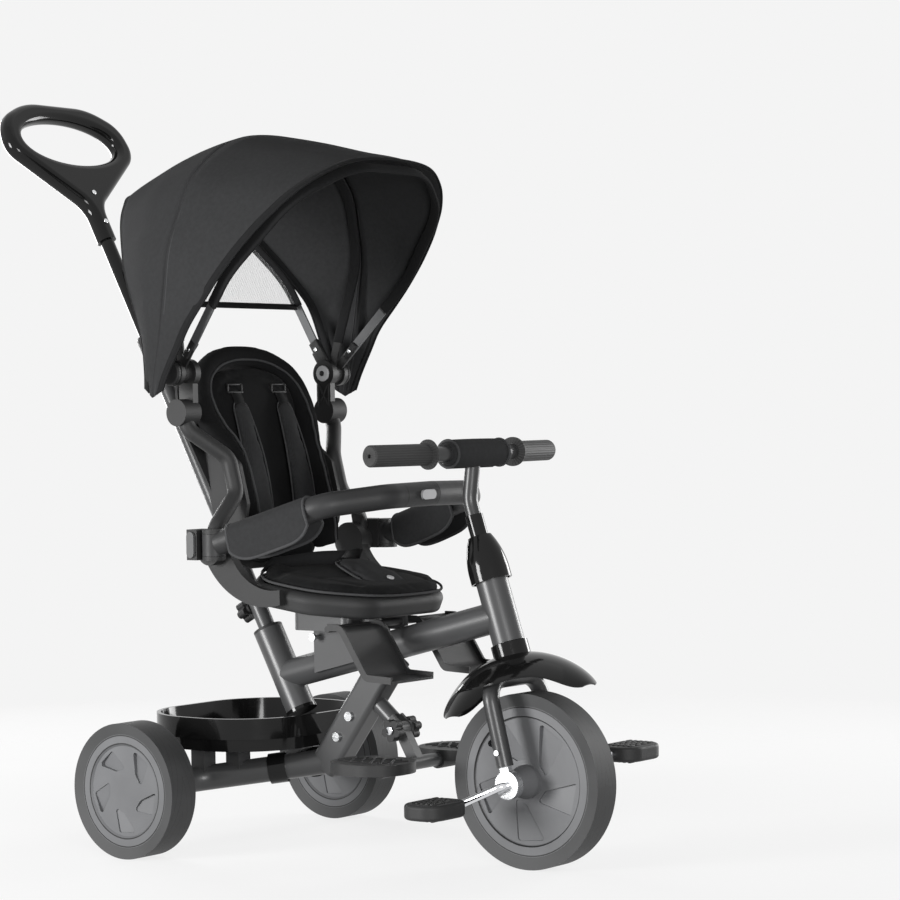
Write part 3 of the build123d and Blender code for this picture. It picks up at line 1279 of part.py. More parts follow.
# Leg rest
with BuildPart() as leg_rest:
    ring(side_plane(LEG_HINGE[0], -CHUTE_OUTER_Y, LEG_HINGE[1]), LEG_ROD_R, 2 * CHUTE_OUTER_Y)
    for name, side in SIDES:
        middle_y = side * (CHUTE_INNER_Y + CHUTE_OUTER_Y) / 2
        with BuildLine(mode=Mode.PRIVATE) as slope:
            FilletPolyline(
                *[spot(x, middle_y, z) for x, z in (LEG_HINGE, CHUTE_KNEE, CHUTE_HEEL, CHUTE_TOE)],
                radius=CHUTE_BEND,
            )
        width = CHUTE_OUTER_Y - CHUTE_INNER_Y
        face = Plane(slope.line @ 0, x_dir=(0, 1, 0), z_dir=slope.line % 0)
        up = 1 if face.y_dir.Z > 0 else -1
        with BuildSketch(face, mode=Mode.PRIVATE) as sheet:
            Rectangle(width, CHUTE_SHEET)
            edge = (width - CHUTE_SHEET) / 2
            with Locations((edge, up * CHUTE_FLANGE / 2), (-edge, up * CHUTE_FLANGE / 2)):
                Rectangle(CHUTE_SHEET, CHUTE_FLANGE)
        sweep(sheet.sketch, path=slope.line)
leg_rest.part.label = "leg_rest"
export_step(leg_rest.part, "parts/leg_rest.step")


# Backrest
def on_back(forward, left, up):
    """A place on the backrest: off its hinge line forward, to the left and up along it."""
    return BACK.origin + BACK.x_dir * forward + Vector(0, left, 0) + BACK.z_dir * up


def back_face(forward):
    """A plane parallel to the backrest: x to the left, y up along it."""
    return Plane(origin=on_back(forward, 0, 0), x_dir=(0, 1, 0), z_dir=BACK.x_dir)


def raised_face(forward, left, up):
    """A plane parallel to the backrest at a place on it: x up along it, z forward."""
    return Plane(origin=on_back(forward, left, up), x_dir=BACK.z_dir, z_dir=BACK.x_dir)


BACK_UP = 1 if back_face(0).y_dir.Z > 0 else -1


def back_arm(side, mode=Mode.ADD):
    """A tube from the hinge, in beside the waist of the shell and out again to the knuckle."""
    ends = ((0, ARM_Y, 0), *ARM_ROUTE, (0, ARM_Y, KNUCKLE_ALONG))
    rod([on_back(forward, side * left, up) for forward, left, up in ends], ARM_R, ARM_BEND, mode=mode)


with BuildPart() as back_shell:
    outline = [(half, BACK_UP * rise) for half, rise in SHELL_OUTLINE]
    outline += [(-half, rise) for half, rise in reversed(outline)]
    slab(back_face(SHELL_BACK), outline, SHELL_THICK, SHELL_CORNER)
    for name, side in SIDES:
        wall_plane = Plane(origin=on_back(0, side * WALL_INNER_Y, 0), x_dir=BACK.x_dir, z_dir=(0, side, 0))
        up = 1 if wall_plane.y_dir.Z > 0 else -1
        wall = [(forward, up * rise) for forward, rise in WALL_OUTLINE]
        slab(wall_plane, wall, WALL_OUTER_Y - WALL_INNER_Y, WALL_CORNER)
        back_arm(side, mode=Mode.SUBTRACT)
back_shell.part.label = "back_shell"
export_step(back_shell.part, "parts/back_shell.step")

with BuildPart() as back_arms:
    for name, side in SIDES:
        hub_inner = HOUSING_OUTER_Y + BODY_GAP
        width = ARM_HUB_OUTER_Y - hub_inner
        start = hub_inner if side > 0 else -ARM_HUB_OUTER_Y
        ring(side_plane(HINGE_AHEAD, start, HINGE_Z), ARM_HUB_R, width)
        back_arm(side)
        knuckle = on_back(0, side * ARM_Y - KNUCKLE_HALF, KNUCKLE_ALONG)
        ring(Plane(knuckle, x_dir=(1, 0, 0), z_dir=(0, 1, 0)), KNUCKLE_R, 2 * KNUCKLE_HALF)
        hub_cut = ARM_HUB_R + ARM_HUB_CUT
        for edge, thick in ((hub_inner, -ARM_HUB_CUT), (ARM_HUB_OUTER_Y, ARM_HUB_CUT)):
            ring(side_plane(HINGE_AHEAD, side * edge, HINGE_Z), hub_cut, side * thick, mode=Mode.SUBTRACT)
        pin_plane = side_plane(HINGE_AHEAD, start - ARM_HUB_OVERRUN, HINGE_Z)
        ring(pin_plane, HINGE_PIN_R + RUN_FIT, width + 2 * ARM_HUB_OVERRUN, mode=Mode.SUBTRACT)
back_arms.part.label = "back_arms"
export_step(back_arms.part, "parts/back_arms.step")

PAD_BACK = SHELL_BACK + SHELL_THICK

with BuildPart() as back_pad:
    layers = []
    for share, inset in BACK_PAD_LAYERS:
        face = raised_face(PAD_BACK + BACK_PAD_THICK * share, 0, 0)
        layers.append(seat_outline(face, BACK_PAD_OUTLINE, BACK_PAD_CORNER, inset))
    loft(layers, ruled=True)
back_pad.part.label = "back_pad"
export_step(back_pad.part, "parts/back_pad.step")

with BuildPart() as back_bolsters:
    for name, side in SIDES:
        middle = (BOLSTER_LOW + BOLSTER_HIGH) / 2
        tall = BOLSTER_HIGH - BOLSTER_LOW
        forward = PAD_BACK + BOLSTER_LIFT + BOLSTER_DEEP / 2
        layers = []
        for share, shrink in BOLSTER_LAYERS:
            place = on_back(forward, side * (BOLSTER_Y + BOLSTER_HALF_WIDTH * share), middle)
            face = Plane(origin=place, x_dir=BACK.z_dir, z_dir=(0, side, 0))
            layers.append((face, tall - shrink, BOLSTER_DEEP - shrink, BOLSTER_CORNER))
        pillow(layers)
back_bolsters.part.label = "back_bolsters"
export_step(back_bolsters.part, "parts/back_bolsters.step")

with BuildPart() as shoulder_pads:
    front = PAD_BACK + BACK_PAD_THICK
    middle = (SHOULDER_LOW + SHOULDER_HIGH) / 2
    tall = SHOULDER_HIGH - SHOULDER_LOW
    for name, side in SIDES:
        layers = []
        for share, shrink in SHOULDER_LAYERS:
            face = raised_face(front + SHOULDER_THICK * share, side * SHOULDER_Y, middle)
            layers.append((face, tall - shrink, SHOULDER_WIDTH - shrink, SHOULDER_CORNER))
        pillow(layers)
shoulder_pads.part.label = "shoulder_pads"
export_step(shoulder_pads.part, "parts/shoulder_pads.step")

# Canopy
PIVOT = spot(PIVOT_AHEAD, 0, PIVOT_Z)
EYE_STARTS = {}
eye_y = LINK_INNER_Y + LINK_THICK
for hoop in ("rear", "mid", "front"):
    EYE_STARTS[hoop] = eye_y + BODY_GAP
    eye_y += HOOP_EYE + BODY_GAP
PIVOT_END_Y = eye_y + BODY_GAP


def hoop_plane(hoop):
    """The plane of a canopy hoop, through the pivot line: x to the left, y away from the pivot."""
    lean = radians(HOOP_ANGLES[hoop])
    return Plane(origin=PIVOT, x_dir=(0, 1, 0), z_dir=(cos(lean), 0, -sin(lean)))


def hoop_points(hoop, root_y, root, grow):
    """Half of a hoop's route and its mirror, as (across, away from the pivot) points."""
    up = 1 if hoop_plane(hoop).y_dir.Z > 0 else -1
    shoulder, haunch, roof = HOOP_CORNERS[hoop]
    half = [
        (root_y, up * root),
        (shoulder[0] + grow, up * shoulder[1]),
        (haunch[0] + grow, up * (haunch[1] + grow)),
        (roof[0], up * (roof[1] + grow)),
    ]
    return half + [(-y, v) for y, v in reversed(half)]


def hoop_strip(hoop):
    """A flat steel strip bent over the canopy, with an eye about the pivot at each end."""
    plane = hoop_plane(hoop)
    eye_middle = EYE_STARTS[hoop] + HOOP_EYE / 2
    with BuildLine(plane, mode=Mode.PRIVATE) as route:
        FilletPolyline(*hoop_points(hoop, eye_middle, HOOP_ROOT, 0), radius=HOOP_BEND)
    path = route.line
    with BuildSketch(Plane(path @ 0, x_dir=plane.z_dir, z_dir=path % 0), mode=Mode.PRIVATE) as section:
        Rectangle(STRIP_WIDE, STRIP_THICK)
    sweep(section.sketch, path=path)
    for name, side in SIDES:
        start = EYE_STARTS[hoop] if side > 0 else -EYE_STARTS[hoop] - HOOP_EYE
        eye_plane = side_plane(PIVOT_AHEAD, start, PIVOT_Z)
        ring(eye_plane, HOOP_EYE_R, HOOP_EYE)
        ring(eye_plane, PIVOT_PIN_R + RUN_FIT, HOOP_EYE, mode=Mode.SUBTRACT)


KNUCKLE = on_back(0, 0, KNUCKLE_ALONG)

with BuildPart() as canopy_rear_hoop:
    hoop_strip("rear")
    for name, side in SIDES:
        start = LINK_INNER_Y if side > 0 else -LINK_INNER_Y - LINK_THICK
        pivot_plane = side_plane(PIVOT_AHEAD, start, PIVOT_Z)
        ring(pivot_plane, PIVOT_R, LINK_THICK)
        knuckle_local = pivot_plane.to_local_coords(KNUCKLE + Vector(0, start, 0))
        square = Vector(-knuckle_local.Y, knuckle_local.X, 0).normalized() * (LINK_WIDE / 2)
        foot = Vector(knuckle_local.X, knuckle_local.Y, 0)
        corners = [square, -square, foot - square, foot + square]
        slab(pivot_plane, [(c.X, c.Y) for c in corners], LINK_THICK)
        pin_start = LINK_INNER_Y if side > 0 else -PIVOT_END_Y
        ring(side_plane(PIVOT_AHEAD, pin_start, PIVOT_Z), PIVOT_PIN_R, PIVOT_END_Y - LINK_INNER_Y)
        cap_start = PIVOT_END_Y if side > 0 else -PIVOT_END_Y - PIVOT_CAP
        ring(side_plane(PIVOT_AHEAD, cap_start, PIVOT_Z), PIVOT_CAP_R, PIVOT_CAP)
    knuckle_half = ARM_Y + KNUCKLE_HALF
    ring(Plane(KNUCKLE - Vector(0, knuckle_half, 0), x_dir=(1, 0, 0), z_dir=(0, 1, 0)), KNUCKLE_R,
         2 * knuckle_half, mode=Mode.SUBTRACT)
canopy_rear_hoop.part.label = "canopy_rear_hoop"
export_step(canopy_rear_hoop.part, "parts/canopy_rear_hoop.step")

with BuildPart() as canopy_mid_hoop:
    hoop_strip("mid")
canopy_mid_hoop.part.label = "canopy_mid_hoop"
export_step(canopy_mid_hoop.part, "parts/canopy_mid_hoop.step")

with BuildPart() as canopy_front_hoop:
    hoop_strip("front")
canopy_front_hoop.part.label = "canopy_front_hoop"
export_step(canopy_front_hoop.part, "parts/canopy_front_hoop.step")

with BuildPart() as canopy_mesh:
    plane = hoop_plane("rear")
    up = 1 if plane.y_dir.Z > 0 else -1
    root_y = EYE_STARTS["rear"] + HOOP_EYE / 2 - MESH_INSET
    with BuildSketch(plane, mode=Mode.PRIVATE) as net:
        with BuildLine():
            arch = FilletPolyline(*hoop_points("rear", root_y, HOOP_ROOT, -MESH_INSET), radius=HOOP_BEND)
            Line(arch @ 1, arch @ 0)
        make_face()
        with Locations((0, up * MESH_LOW / 2)):
            Rectangle(2 * FABRIC_ROOT_Y, MESH_LOW, mode=Mode.SUBTRACT)
    extrude(net.sketch, amount=MESH_SHEET / 2, both=True)
canopy_mesh.part.label = "canopy_mesh"
export_step(canopy_mesh.part, "parts/canopy_mesh.step")


def fabric_section(hoop):
    """The canopy cloth's section over a hoop: an arch of even thickness, open below."""
    with BuildSketch(hoop_plane(hoop), mode=Mode.PRIVATE) as section:
        for thick, mode in ((FABRIC_SHEET, Mode.ADD), (0.0, Mode.SUBTRACT)):
            grow = STRIP_THICK / 2 + FABRIC_LOOSE + thick
            points = hoop_points(hoop, FABRIC_ROOT_Y + thick, FABRIC_ROOT, grow)
            with BuildLine():
                arch = FilletPolyline(*points, radius=HOOP_BEND)
                Line(arch @ 1, arch @ 0)
            make_face(mode=mode)
    return section.sketch


for name, first, second in (("canopy_rear_fabric", "rear", "mid"), ("canopy_front_fabric", "mid", "front")):
    with BuildPart() as canopy_fabric:
        loft([fabric_section(first), fabric_section(second)], ruled=True)
    canopy_fabric.part.label = name
    export_step(canopy_fabric.part, f"parts/{name}.step")

# Child footrest
with BuildPart() as footrest_link:
    eye_plane = side_plane(FOOT_HINGE[0], -EYE_HALF, FOOT_HINGE[1])
    ring(eye_plane, EYE_R, 2 * EYE_HALF)
    hinge = spot(FOOT_HINGE[0], 0, FOOT_HINGE[1])
    cross = spot(CROSS_TUBE[0], 0, CROSS_TUBE[1])
    link_way = (cross - hinge).normalized()
    link_plane = Plane(hinge, x_dir=(0, 1, 0), z_dir=link_way)
    with BuildSketch(link_plane, mode=Mode.PRIVATE) as bar:
        Rectangle(2 * EYE_HALF, LINK_BAR_DEEP)
    extrude(bar.sketch, amount=(cross - hinge).length)
    ring(side_plane(CROSS_TUBE[0], -CROSS_HALF, CROSS_TUBE[1]), CROSS_R, 2 * CROSS_HALF)
    ring(eye_plane, FOOT_PIN_R + RUN_FIT, 2 * EYE_HALF, mode=Mode.SUBTRACT)
footrest_link.part.label = "footrest_link"
export_step(footrest_link.part, "parts/footrest_link.step")

with BuildPart() as foot_pads:
    for name, side in SIDES:
        sole_foot = Plane(spot(CROSS_TUBE[0], side * PAD_CENTRE_Y, PAD_TOP_Z - PAD_THICK))
        with BuildSketch(sole_foot, mode=Mode.PRIVATE) as sole:
            RectangleRounded(PAD_LONG, PAD_WIDE, PAD_CORNER)
        extrude(sole.sketch, amount=PAD_THICK)
        boss_inner = PAD_CENTRE_Y - PAD_WIDE / 2
        start = boss_inner if side > 0 else -CROSS_HALF - PAD_BOSS_R
        boss_plane = side_plane(CROSS_TUBE[0], start, CROSS_TUBE[1])
        ring(boss_plane, PAD_BOSS_R, CROSS_HALF + PAD_BOSS_R - boss_inner)
    ring(side_plane(CROSS_TUBE[0], -CROSS_HALF, CROSS_TUBE[1]), CROSS_R, 2 * CROSS_HALF, mode=Mode.SUBTRACT)
foot_pads.part.label = "foot_pads"
export_step(foot_pads.part, "parts/foot_pads.step")

with BuildPart() as footrest_knobs:
    knob_y = EYE_HALF + BODY_GAP + CHEEK + BODY_GAP
    ring(side_plane(FOOT_HINGE[0], -knob_y, FOOT_HINGE[1]), FOOT_PIN_R, 2 * knob_y)
    for name, side in SIDES:
        star_knob(Plane(spot(FOOT_HINGE[0], side * knob_y, FOOT_HINGE[1]), z_dir=(0, side, 0)))
footrest_knobs.part.label = "footrest_knobs"
export_step(footrest_knobs.part, "parts/footrest_knobs.step")
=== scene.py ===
import json
import math

import bmesh
import bpy
from mathutils import Matrix, Vector, noise


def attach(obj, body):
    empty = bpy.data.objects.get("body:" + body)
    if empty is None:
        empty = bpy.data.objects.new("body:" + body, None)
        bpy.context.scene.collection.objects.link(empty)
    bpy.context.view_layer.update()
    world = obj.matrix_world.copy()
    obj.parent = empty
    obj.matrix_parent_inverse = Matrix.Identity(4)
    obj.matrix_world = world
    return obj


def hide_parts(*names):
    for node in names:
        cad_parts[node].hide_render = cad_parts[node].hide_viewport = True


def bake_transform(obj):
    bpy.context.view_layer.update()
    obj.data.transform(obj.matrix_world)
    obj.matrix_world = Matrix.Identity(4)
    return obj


# Children's tricycle: cloth, padding, trim, finishes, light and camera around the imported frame.
# Places are in millimetres ahead of the front axle, left of the middle and above the ground,
# and the helpers below turn them into the row frame in metres.

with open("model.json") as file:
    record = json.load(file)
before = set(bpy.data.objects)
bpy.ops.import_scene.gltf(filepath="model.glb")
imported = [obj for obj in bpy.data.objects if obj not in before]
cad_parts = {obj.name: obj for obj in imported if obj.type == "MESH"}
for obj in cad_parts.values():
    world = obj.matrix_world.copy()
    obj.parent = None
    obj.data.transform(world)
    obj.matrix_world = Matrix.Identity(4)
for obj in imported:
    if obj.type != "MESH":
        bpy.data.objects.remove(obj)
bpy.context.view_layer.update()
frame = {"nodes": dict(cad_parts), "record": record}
nodes = frame["nodes"]

FRONT_AXLE_X = 416.6
FRONT_WHEEL_R = 125.0
REAR_WHEEL_R = 100.0
WHEELBASE = 559.0
HALF_TRACK = 236.0
BAR_AHEAD = -98.0
BAR_UP = 590.0
SIDES = (("left", 1), ("right", -1))

# Seat and backrest planes
SEAT_PLACE = (-343.0, 397.0)
SEAT_TILT = 7.5
HINGE_PLACE = (-457.0, 452.0)
BACK_TILT = 14.3

# Canopy
PIVOT_PLACE = (-509.0, 714.0)
FOLD_REACH = 45.0
CHAIN_POINTS = 97
SPAN_CUTS = 13
CLOTH_THICK = 1.2
HOOP_LEANS = {"rear": -33.0, "mid": 7.5, "front": 42.0}
HOOP_BEND = 120.0
# Corners of half a hoop before its bends, from its eye: left, away from the pivot
HOOP_CORNERS = {
    "rear": ((166.4, 13.0), (178.0, 180.0), (136.0, 262.0), (60.0, 331.0)),
    "mid": ((172.8, 13.0), (213.0, 180.0), (178.0, 284.0), (82.0, 355.0)),
    "front": ((179.2, 13.0), (207.0, 190.0), (172.0, 330.0), (82.0, 396.0)),
}
# Half of the cloth's line over each hoop: left, away from the pivot
CLOTH_LINES = {
    "rear": (
        (200.0, 130.0), (186.0, 180.0), (166.0, 225.0), (140.0, 275.0), (115.0, 308.0), (85.0, 331.0),
        (0.0, 340.0),
    ),
    "mid": (
        (223.0, 120.0), (222.0, 180.0), (208.0, 229.0), (186.0, 283.0), (140.0, 326.0), (82.0, 354.0),
        (0.0, 362.0),
    ),
    "front": (
        (218.0, 92.0), (219.0, 140.0), (219.0, 180.0), (213.0, 230.0), (202.0, 273.0), (191.0, 300.0),
        (172.0, 337.0), (136.0, 376.0), (82.0, 405.0), (0.0, 413.0),
    ),
}
# Ends of the cloth below the hoops: ahead, left, up
CLOTH_TAILS = {
    "rear": ((-543.0, 213.0, 692.0), (-547.0, 209.0, 718.0), (-558.0, 203.0, 766.0)),
    "mid": ((-522.0, 220.0, 678.0), (-516.0, 222.0, 712.0), (-503.0, 223.0, 770.0)),
    "front": ((-501.0, 221.0, 688.0), (-489.0, 221.0, 714.0), (-467.0, 219.0, 750.0)),
}
HOOP_BODIES = {"rear": "backrest", "mid": "canopy_mid", "front": "canopy_front"}


def at(ahead, left, up):
    """A place in the row frame, in metres."""
    return Vector((FRONT_AXLE_X + ahead, left, up)) / 1000


def on_seat(ahead, left, up):
    """A place over the seat: ahead of its middle along the slope, to the left and off the slope."""
    lean = math.radians(SEAT_TILT)
    slope = Vector((math.cos(lean), 0, -math.sin(lean)))
    off = Vector((math.sin(lean), 0, math.cos(lean)))
    return at(SEAT_PLACE[0], left, SEAT_PLACE[1]) + slope * ahead / 1000 + off * up / 1000


def on_back(along, left, forward):
    """A place over the backrest: up along it from the hinge line, to the left and off it forward."""
    lean = math.radians(BACK_TILT)
    rise = Vector((-math.sin(lean), 0, math.cos(lean)))
    off = Vector((math.cos(lean), 0, math.sin(lean)))
    return at(HINGE_PLACE[0], left, HINGE_PLACE[1]) + rise * along / 1000 + off * forward / 1000


PIVOT = at(PIVOT_PLACE[0], 0, PIVOT_PLACE[1])
CANOPY_MIDDLE_UP = at(0, 0, 850).z


def mirrored(points):
    """The same points on the other side of the object's middle plane."""
    return [Vector((p.x, -p.y, p.z)) for p in points]


def evened(fine, count):
    """Evenly spaced points along a row of straight runs."""
    lengths = [0.0]
    for a, b in zip(fine, fine[1:]):
        lengths.append(lengths[-1] + (b - a).length)
    even = []
    place = 0
    for step in range(count):
        goal = lengths[-1] * step / (count - 1)
        while place < len(fine) - 2 and lengths[place + 1] < goal:
            place += 1
        run = lengths[place + 1] - lengths[place]
        share = 0.0 if run == 0 else (goal - lengths[place]) / run
        even.append(fine[place].lerp(fine[place + 1], share))
    return even


def smooth_line(points, count):
    """Evenly spaced points on a smooth curve through a few points."""
    points = [Vector(p) for p in points]
    ends = [2 * points[0] - points[1]] + points + [2 * points[-1] - points[-2]]
    fine = []
    for a, b, c, d in zip(ends, ends[1:], ends[2:], ends[3:]):
        for step in range(12):
            t = step / 12
            fine.append(
                0.5 * (2 * b + (c - a) * t + (2 * a - 5 * b + 4 * c - d) * t ** 2
                       + (3 * b - a - 3 * c + d) * t ** 3)
            )
    return evened(fine + [points[-1]], count)


def bent_line(corners, bend):
    """Points along straight runs joined by tangent arcs."""
    corners = [Vector(corner) for corner in corners]
    line = [corners[0]]
    for before, corner, after in zip(corners, corners[1:], corners[2:]):
        back = (before - corner).normalized()
        onward = (after - corner).normalized()
        half = back.angle(onward) / 2
        centre = corner + (back + onward).normalized() * bend / math.sin(half)
        start = corner + back * bend / math.tan(half) - centre
        end = corner + onward * bend / math.tan(half) - centre
        for step in range(9):
            line.append(centre + start.lerp(end, step / 8).normalized() * bend)
    return line + [corners[-1]]


def on_hoop(hoop, left, away):
    """A place in a canopy hoop's plane, away from the pivot along it."""
    lean = math.radians(HOOP_LEANS[hoop])
    return at(PIVOT_PLACE[0] + away * math.sin(lean), left, PIVOT_PLACE[1] + away * math.cos(lean))


def square_to(angle):
    """The way ahead, square to a line that leans forward by an angle."""
    lean = math.radians(angle)
    return Vector((math.cos(lean), 0, -math.sin(lean)))


def hoop_left(hoop, away):
    """How far left a hoop's straight leg lies, at a distance from the pivot."""
    root, shoulder = HOOP_CORNERS[hoop][:2]
    return root[0] + (shoulder[0] - root[0]) * (away - root[1]) / (shoulder[1] - root[1])


def cloth_arch(hoop):
    """The whole line of the canopy's cloth over a hoop, right side first."""
    half = [at(ahead, -left, up) for ahead, left, up in CLOTH_TAILS[hoop]]
    half += [on_hoop(hoop, -left, away) for left, away in CLOTH_LINES[hoop]]
    return half + mirrored(half[-2::-1])


# Shader maths
def acting(operation, flipped=False):
    """A method that joins a signal and another value by a maths node."""
    def method(self, other):
        first, second = (other, self) if flipped else (self, other)
        return self.graph.node("ShaderNodeMath", {"operation": operation}, {0: first, 1: second})
    return method


class Signal:
    """A shader socket that takes Python's arithmetic."""

    def __init__(self, graph, socket):
        self.graph = graph
        self.socket = socket

    __add__ = acting("ADD")
    __radd__ = acting("ADD", True)
    __sub__ = acting("SUBTRACT")
    __rsub__ = acting("SUBTRACT", True)
    __mul__ = acting("MULTIPLY")
    __rmul__ = acting("MULTIPLY", True)
    __gt__ = acting("GREATER_THAN")
    __lt__ = acting("LESS_THAN")

    def of(self, operation, other=0.0):
        return acting(operation)(self, other)


def tinted(colour, share):
    """A colour times a share, either of them one number or one for each channel."""
    colour, share = [value if isinstance(value, tuple) else (value,) * 3 for value in (colour, share)]
    return (*(tone * part for tone, part in zip(colour, share)), 1.0)


class Graph:
    """A node tree that is filled node by node."""

    def __init__(self, tree):
        self.tree = tree

    def feed(self, node, inputs):
        for key, value in inputs.items():
            if isinstance(value, Signal):
                self.tree.links.new(value.socket, node.inputs[key])
            else:
                node.inputs[key].default_value = value

    def node(self, kind, settings, inputs, output=0):
        made = self.tree.nodes.new(kind)
        for key, value in settings.items():
            setattr(made, key, value)
        self.feed(made, inputs)
        return Signal(self, made.outputs[output])

    def eye_rays(self):
        """One for rays from the camera, from a mirror or through glass, and nought for others."""
        kinds = ("Is Camera Ray", "Is Glossy Ray", "Is Transmission Ray")
        direct, glossy, through = [self.node("ShaderNodeLightPath", {}, {}, kind) for kind in kinds]
        return direct.of("MAXIMUM", glossy).of("MAXIMUM", through)


class Finish(Graph):
    """One procedural material."""

    def __init__(self, name, colour, roughness, **sockets):
        self.material = bpy.data.materials.new(name)
        self.material.use_nodes = True
        super().__init__(self.material.node_tree)
        self.shader = self.tree.nodes["Principled BSDF"]
        self.colour = colour
        self.feed(self.shader, {"Base Color": tinted(colour, 1.0), "Roughness": roughness})
        self.feed(self.shader, {key.replace("_", " "): value for key, value in sockets.items()})

    def coordinates(self):
        return self.node("ShaderNodeTexCoord", {}, {}, 3)

    def surface_map(self):
        return self.node("ShaderNodeTexCoord", {}, {}, 2)

    def axes(self, vector=None):
        vector = vector or self.coordinates()
        return [self.node("ShaderNodeSeparateXYZ", {}, {0: vector}, index) for index in range(3)]

    def lines(self, value, places, half):
        """One within a half width of each place, nought elsewhere."""
        return sum(((value - place).of("ABSOLUTE") < half for place in places), 0.0)

    def grain(self, scale, detail):
        inputs = {"Vector": self.coordinates(), "Scale": scale, "Detail": detail, "Roughness": 0.5}
        return self.node("ShaderNodeTexNoise", {}, inputs)

    def pebbles(self, scale):
        return self.node("ShaderNodeTexVoronoi", {}, {"Vector": self.coordinates(), "Scale": scale})

    def bump(self, height, strength, distance):
        inputs = {"Height": height, "Strength": strength, "Distance": distance}
        normal = self.node("ShaderNodeBump", {}, inputs)
        self.feed(self.shader, {"Normal": normal})

    def colour_varies(self, amount, dark, light):
        """Runs the colour between two shares of itself."""
        inputs = {0: amount, 6: tinted(self.colour, dark), 7: tinted(self.colour, light)}
        mix = self.node("ShaderNodeMix", {"data_type": "RGBA"}, inputs, 2)
        self.feed(self.shader, {"Base Color": mix})

    def roughness_varies(self, amount, low, high):
        self.feed(self.shader, {"Roughness": amount * (high - low) + low})


def about_axle(x, z, hub):
    """Distance from an axle that runs across the object."""
    return ((x - hub.x).of("POWER", 2.0) + (z - hub.z).of("POWER", 2.0)).of("SQRT")


def powder_paint(name, shade):
    """Satin powder coat with a faint orange peel and dust-dulled patches."""
    finish = Finish(name, shade, 0.4, Specular_IOR_Level=0.4)
    peel = finish.grain(700.0, 2.0)
    patches = finish.grain(9.0, 3.0)
    finish.colour_varies(patches, 0.85, (1.2, 1.22, 1.26))
    finish.roughness_varies(patches, 0.27, 0.38)
    finish.bump(peel, 0.12, 0.0004)
    return finish


def gloss_moulding(name, shade):
    """Polished black plastic, a little smeared and rippled."""
    gloss = {"Specular_IOR_Level": 0.22, "Coat_Weight": 0.05, "Coat_Roughness": 0.05}
    finish = Finish(name, shade, 0.1, **gloss)
    smear = finish.grain(14.0, 4.0)
    ripple = finish.grain(60.0, 1.0)
    finish.colour_varies(smear, 0.8, 1.3)
    finish.roughness_varies(smear, 0.06, 0.16)
    finish.bump(ripple, 0.04, 0.0006)
    return finish


def grained_moulding(name, shade, grain=1100.0, depth=0.35, roughness=0.55):
    """Moulded plastic with a fine leather-like spark grain."""
    finish = Finish(name, shade, roughness, Specular_IOR_Level=0.3)
    pits = finish.pebbles(grain)
    patches = finish.grain(12.0, 3.0)
    finish.colour_varies(patches, 0.86, (1.18, 1.19, 1.22))
    finish.roughness_varies(patches, roughness - 0.07, roughness + 0.07)
    finish.bump(pits, depth, 0.0004)
    return finish


def wheel_moulding(name, shade, hub, rings):
    """A moulded wheel face: fine grain, with turned grooves at the rings about its axle, each groove
    darkened by painted shade.
    """
    finish = Finish(name, shade, 0.45, Specular_IOR_Level=0.3)
    x, _, z = finish.axes()
    grooves = finish.lines(about_axle(x, z, hub), rings, 0.0009)
    patches = finish.grain(14.0, 3.0)
    pits = finish.grain(1500.0, 1.0)
    # Painted shade: the colour falls to a tenth of the grey along the grooves.
    tone = (patches * 0.4 + 0.5 - grooves).of("MAXIMUM", 0.0)
    finish.colour_varies(tone, 0.1, (1.35, 1.37, 1.42))
    finish.roughness_varies(patches, 0.38, 0.52)
    finish.bump(pits * 0.25 - grooves, 0.4, 0.0006)
    return finish


def tyre_foam(name, shade, hub, radius, half_width, sweeps):
    """Foam rubber: fine pores and swept grooves over the tread, the grooves darkened by painted shade."""
    finish = Finish(name, shade, 0.55, Specular_IOR_Level=0.25)
    x, y, z = finish.axes()
    angle = (z - hub.z).of("ARCTAN2", x - hub.x)
    across = (y - hub.y).of("ABSOLUTE")
    spot = across * (2.6 / half_width) + angle * (sweeps / (2 * math.pi))
    line = ((spot.of("FRACT") - 0.5).of("ABSOLUTE") < 0.03) * (across < half_width * 0.86)
    line = line * (about_axle(x, z, hub) > radius * 0.93)
    pores = finish.grain(900.0, 2.0)
    patches = finish.grain(10.0, 3.0)
    # Painted shade: the colour falls to its dark share along the swept grooves.
    finish.colour_varies((patches - line).of("MAXIMUM", 0.0), 0.55, (1.25, 1.27, 1.3))
    finish.roughness_varies(patches, 0.48, 0.64)
    finish.bump(pores * 0.3 - line, 0.45, 0.001)
    return finish


def woven_cloth(name, shade, pitch, mapped=False):
    """Plain weave: warp and weft ribs, slubs in the yarn and a soft sheen."""
    soft = {"Specular_IOR_Level": 0.02, "Sheen_Weight": 0.025, "Sheen_Roughness": 0.5}
    finish = Finish(name, shade, 0.85, **soft)
    x, y, z = finish.axes(finish.surface_map() if mapped else None)
    turn = 2 * math.pi / pitch
    warp = ((x if mapped else x + z * 0.6) * turn).of("SINE")
    weft = (y * turn).of("SINE")
    weave = warp * weft * 0.5 + 0.5
    slubs = finish.grain(160.0, 3.0)
    wash = finish.grain(7.0, 3.0)
    tone = weave * 0.35 + slubs * 0.4 + wash * 0.25
    finish.colour_varies(tone, 0.6, (1.5, 1.52, 1.58))
    finish.roughness_varies(slubs, 0.78, 0.95)
    finish.bump(weave * 0.6 + slubs * 0.4, 0.35, 0.0005)
    return finish


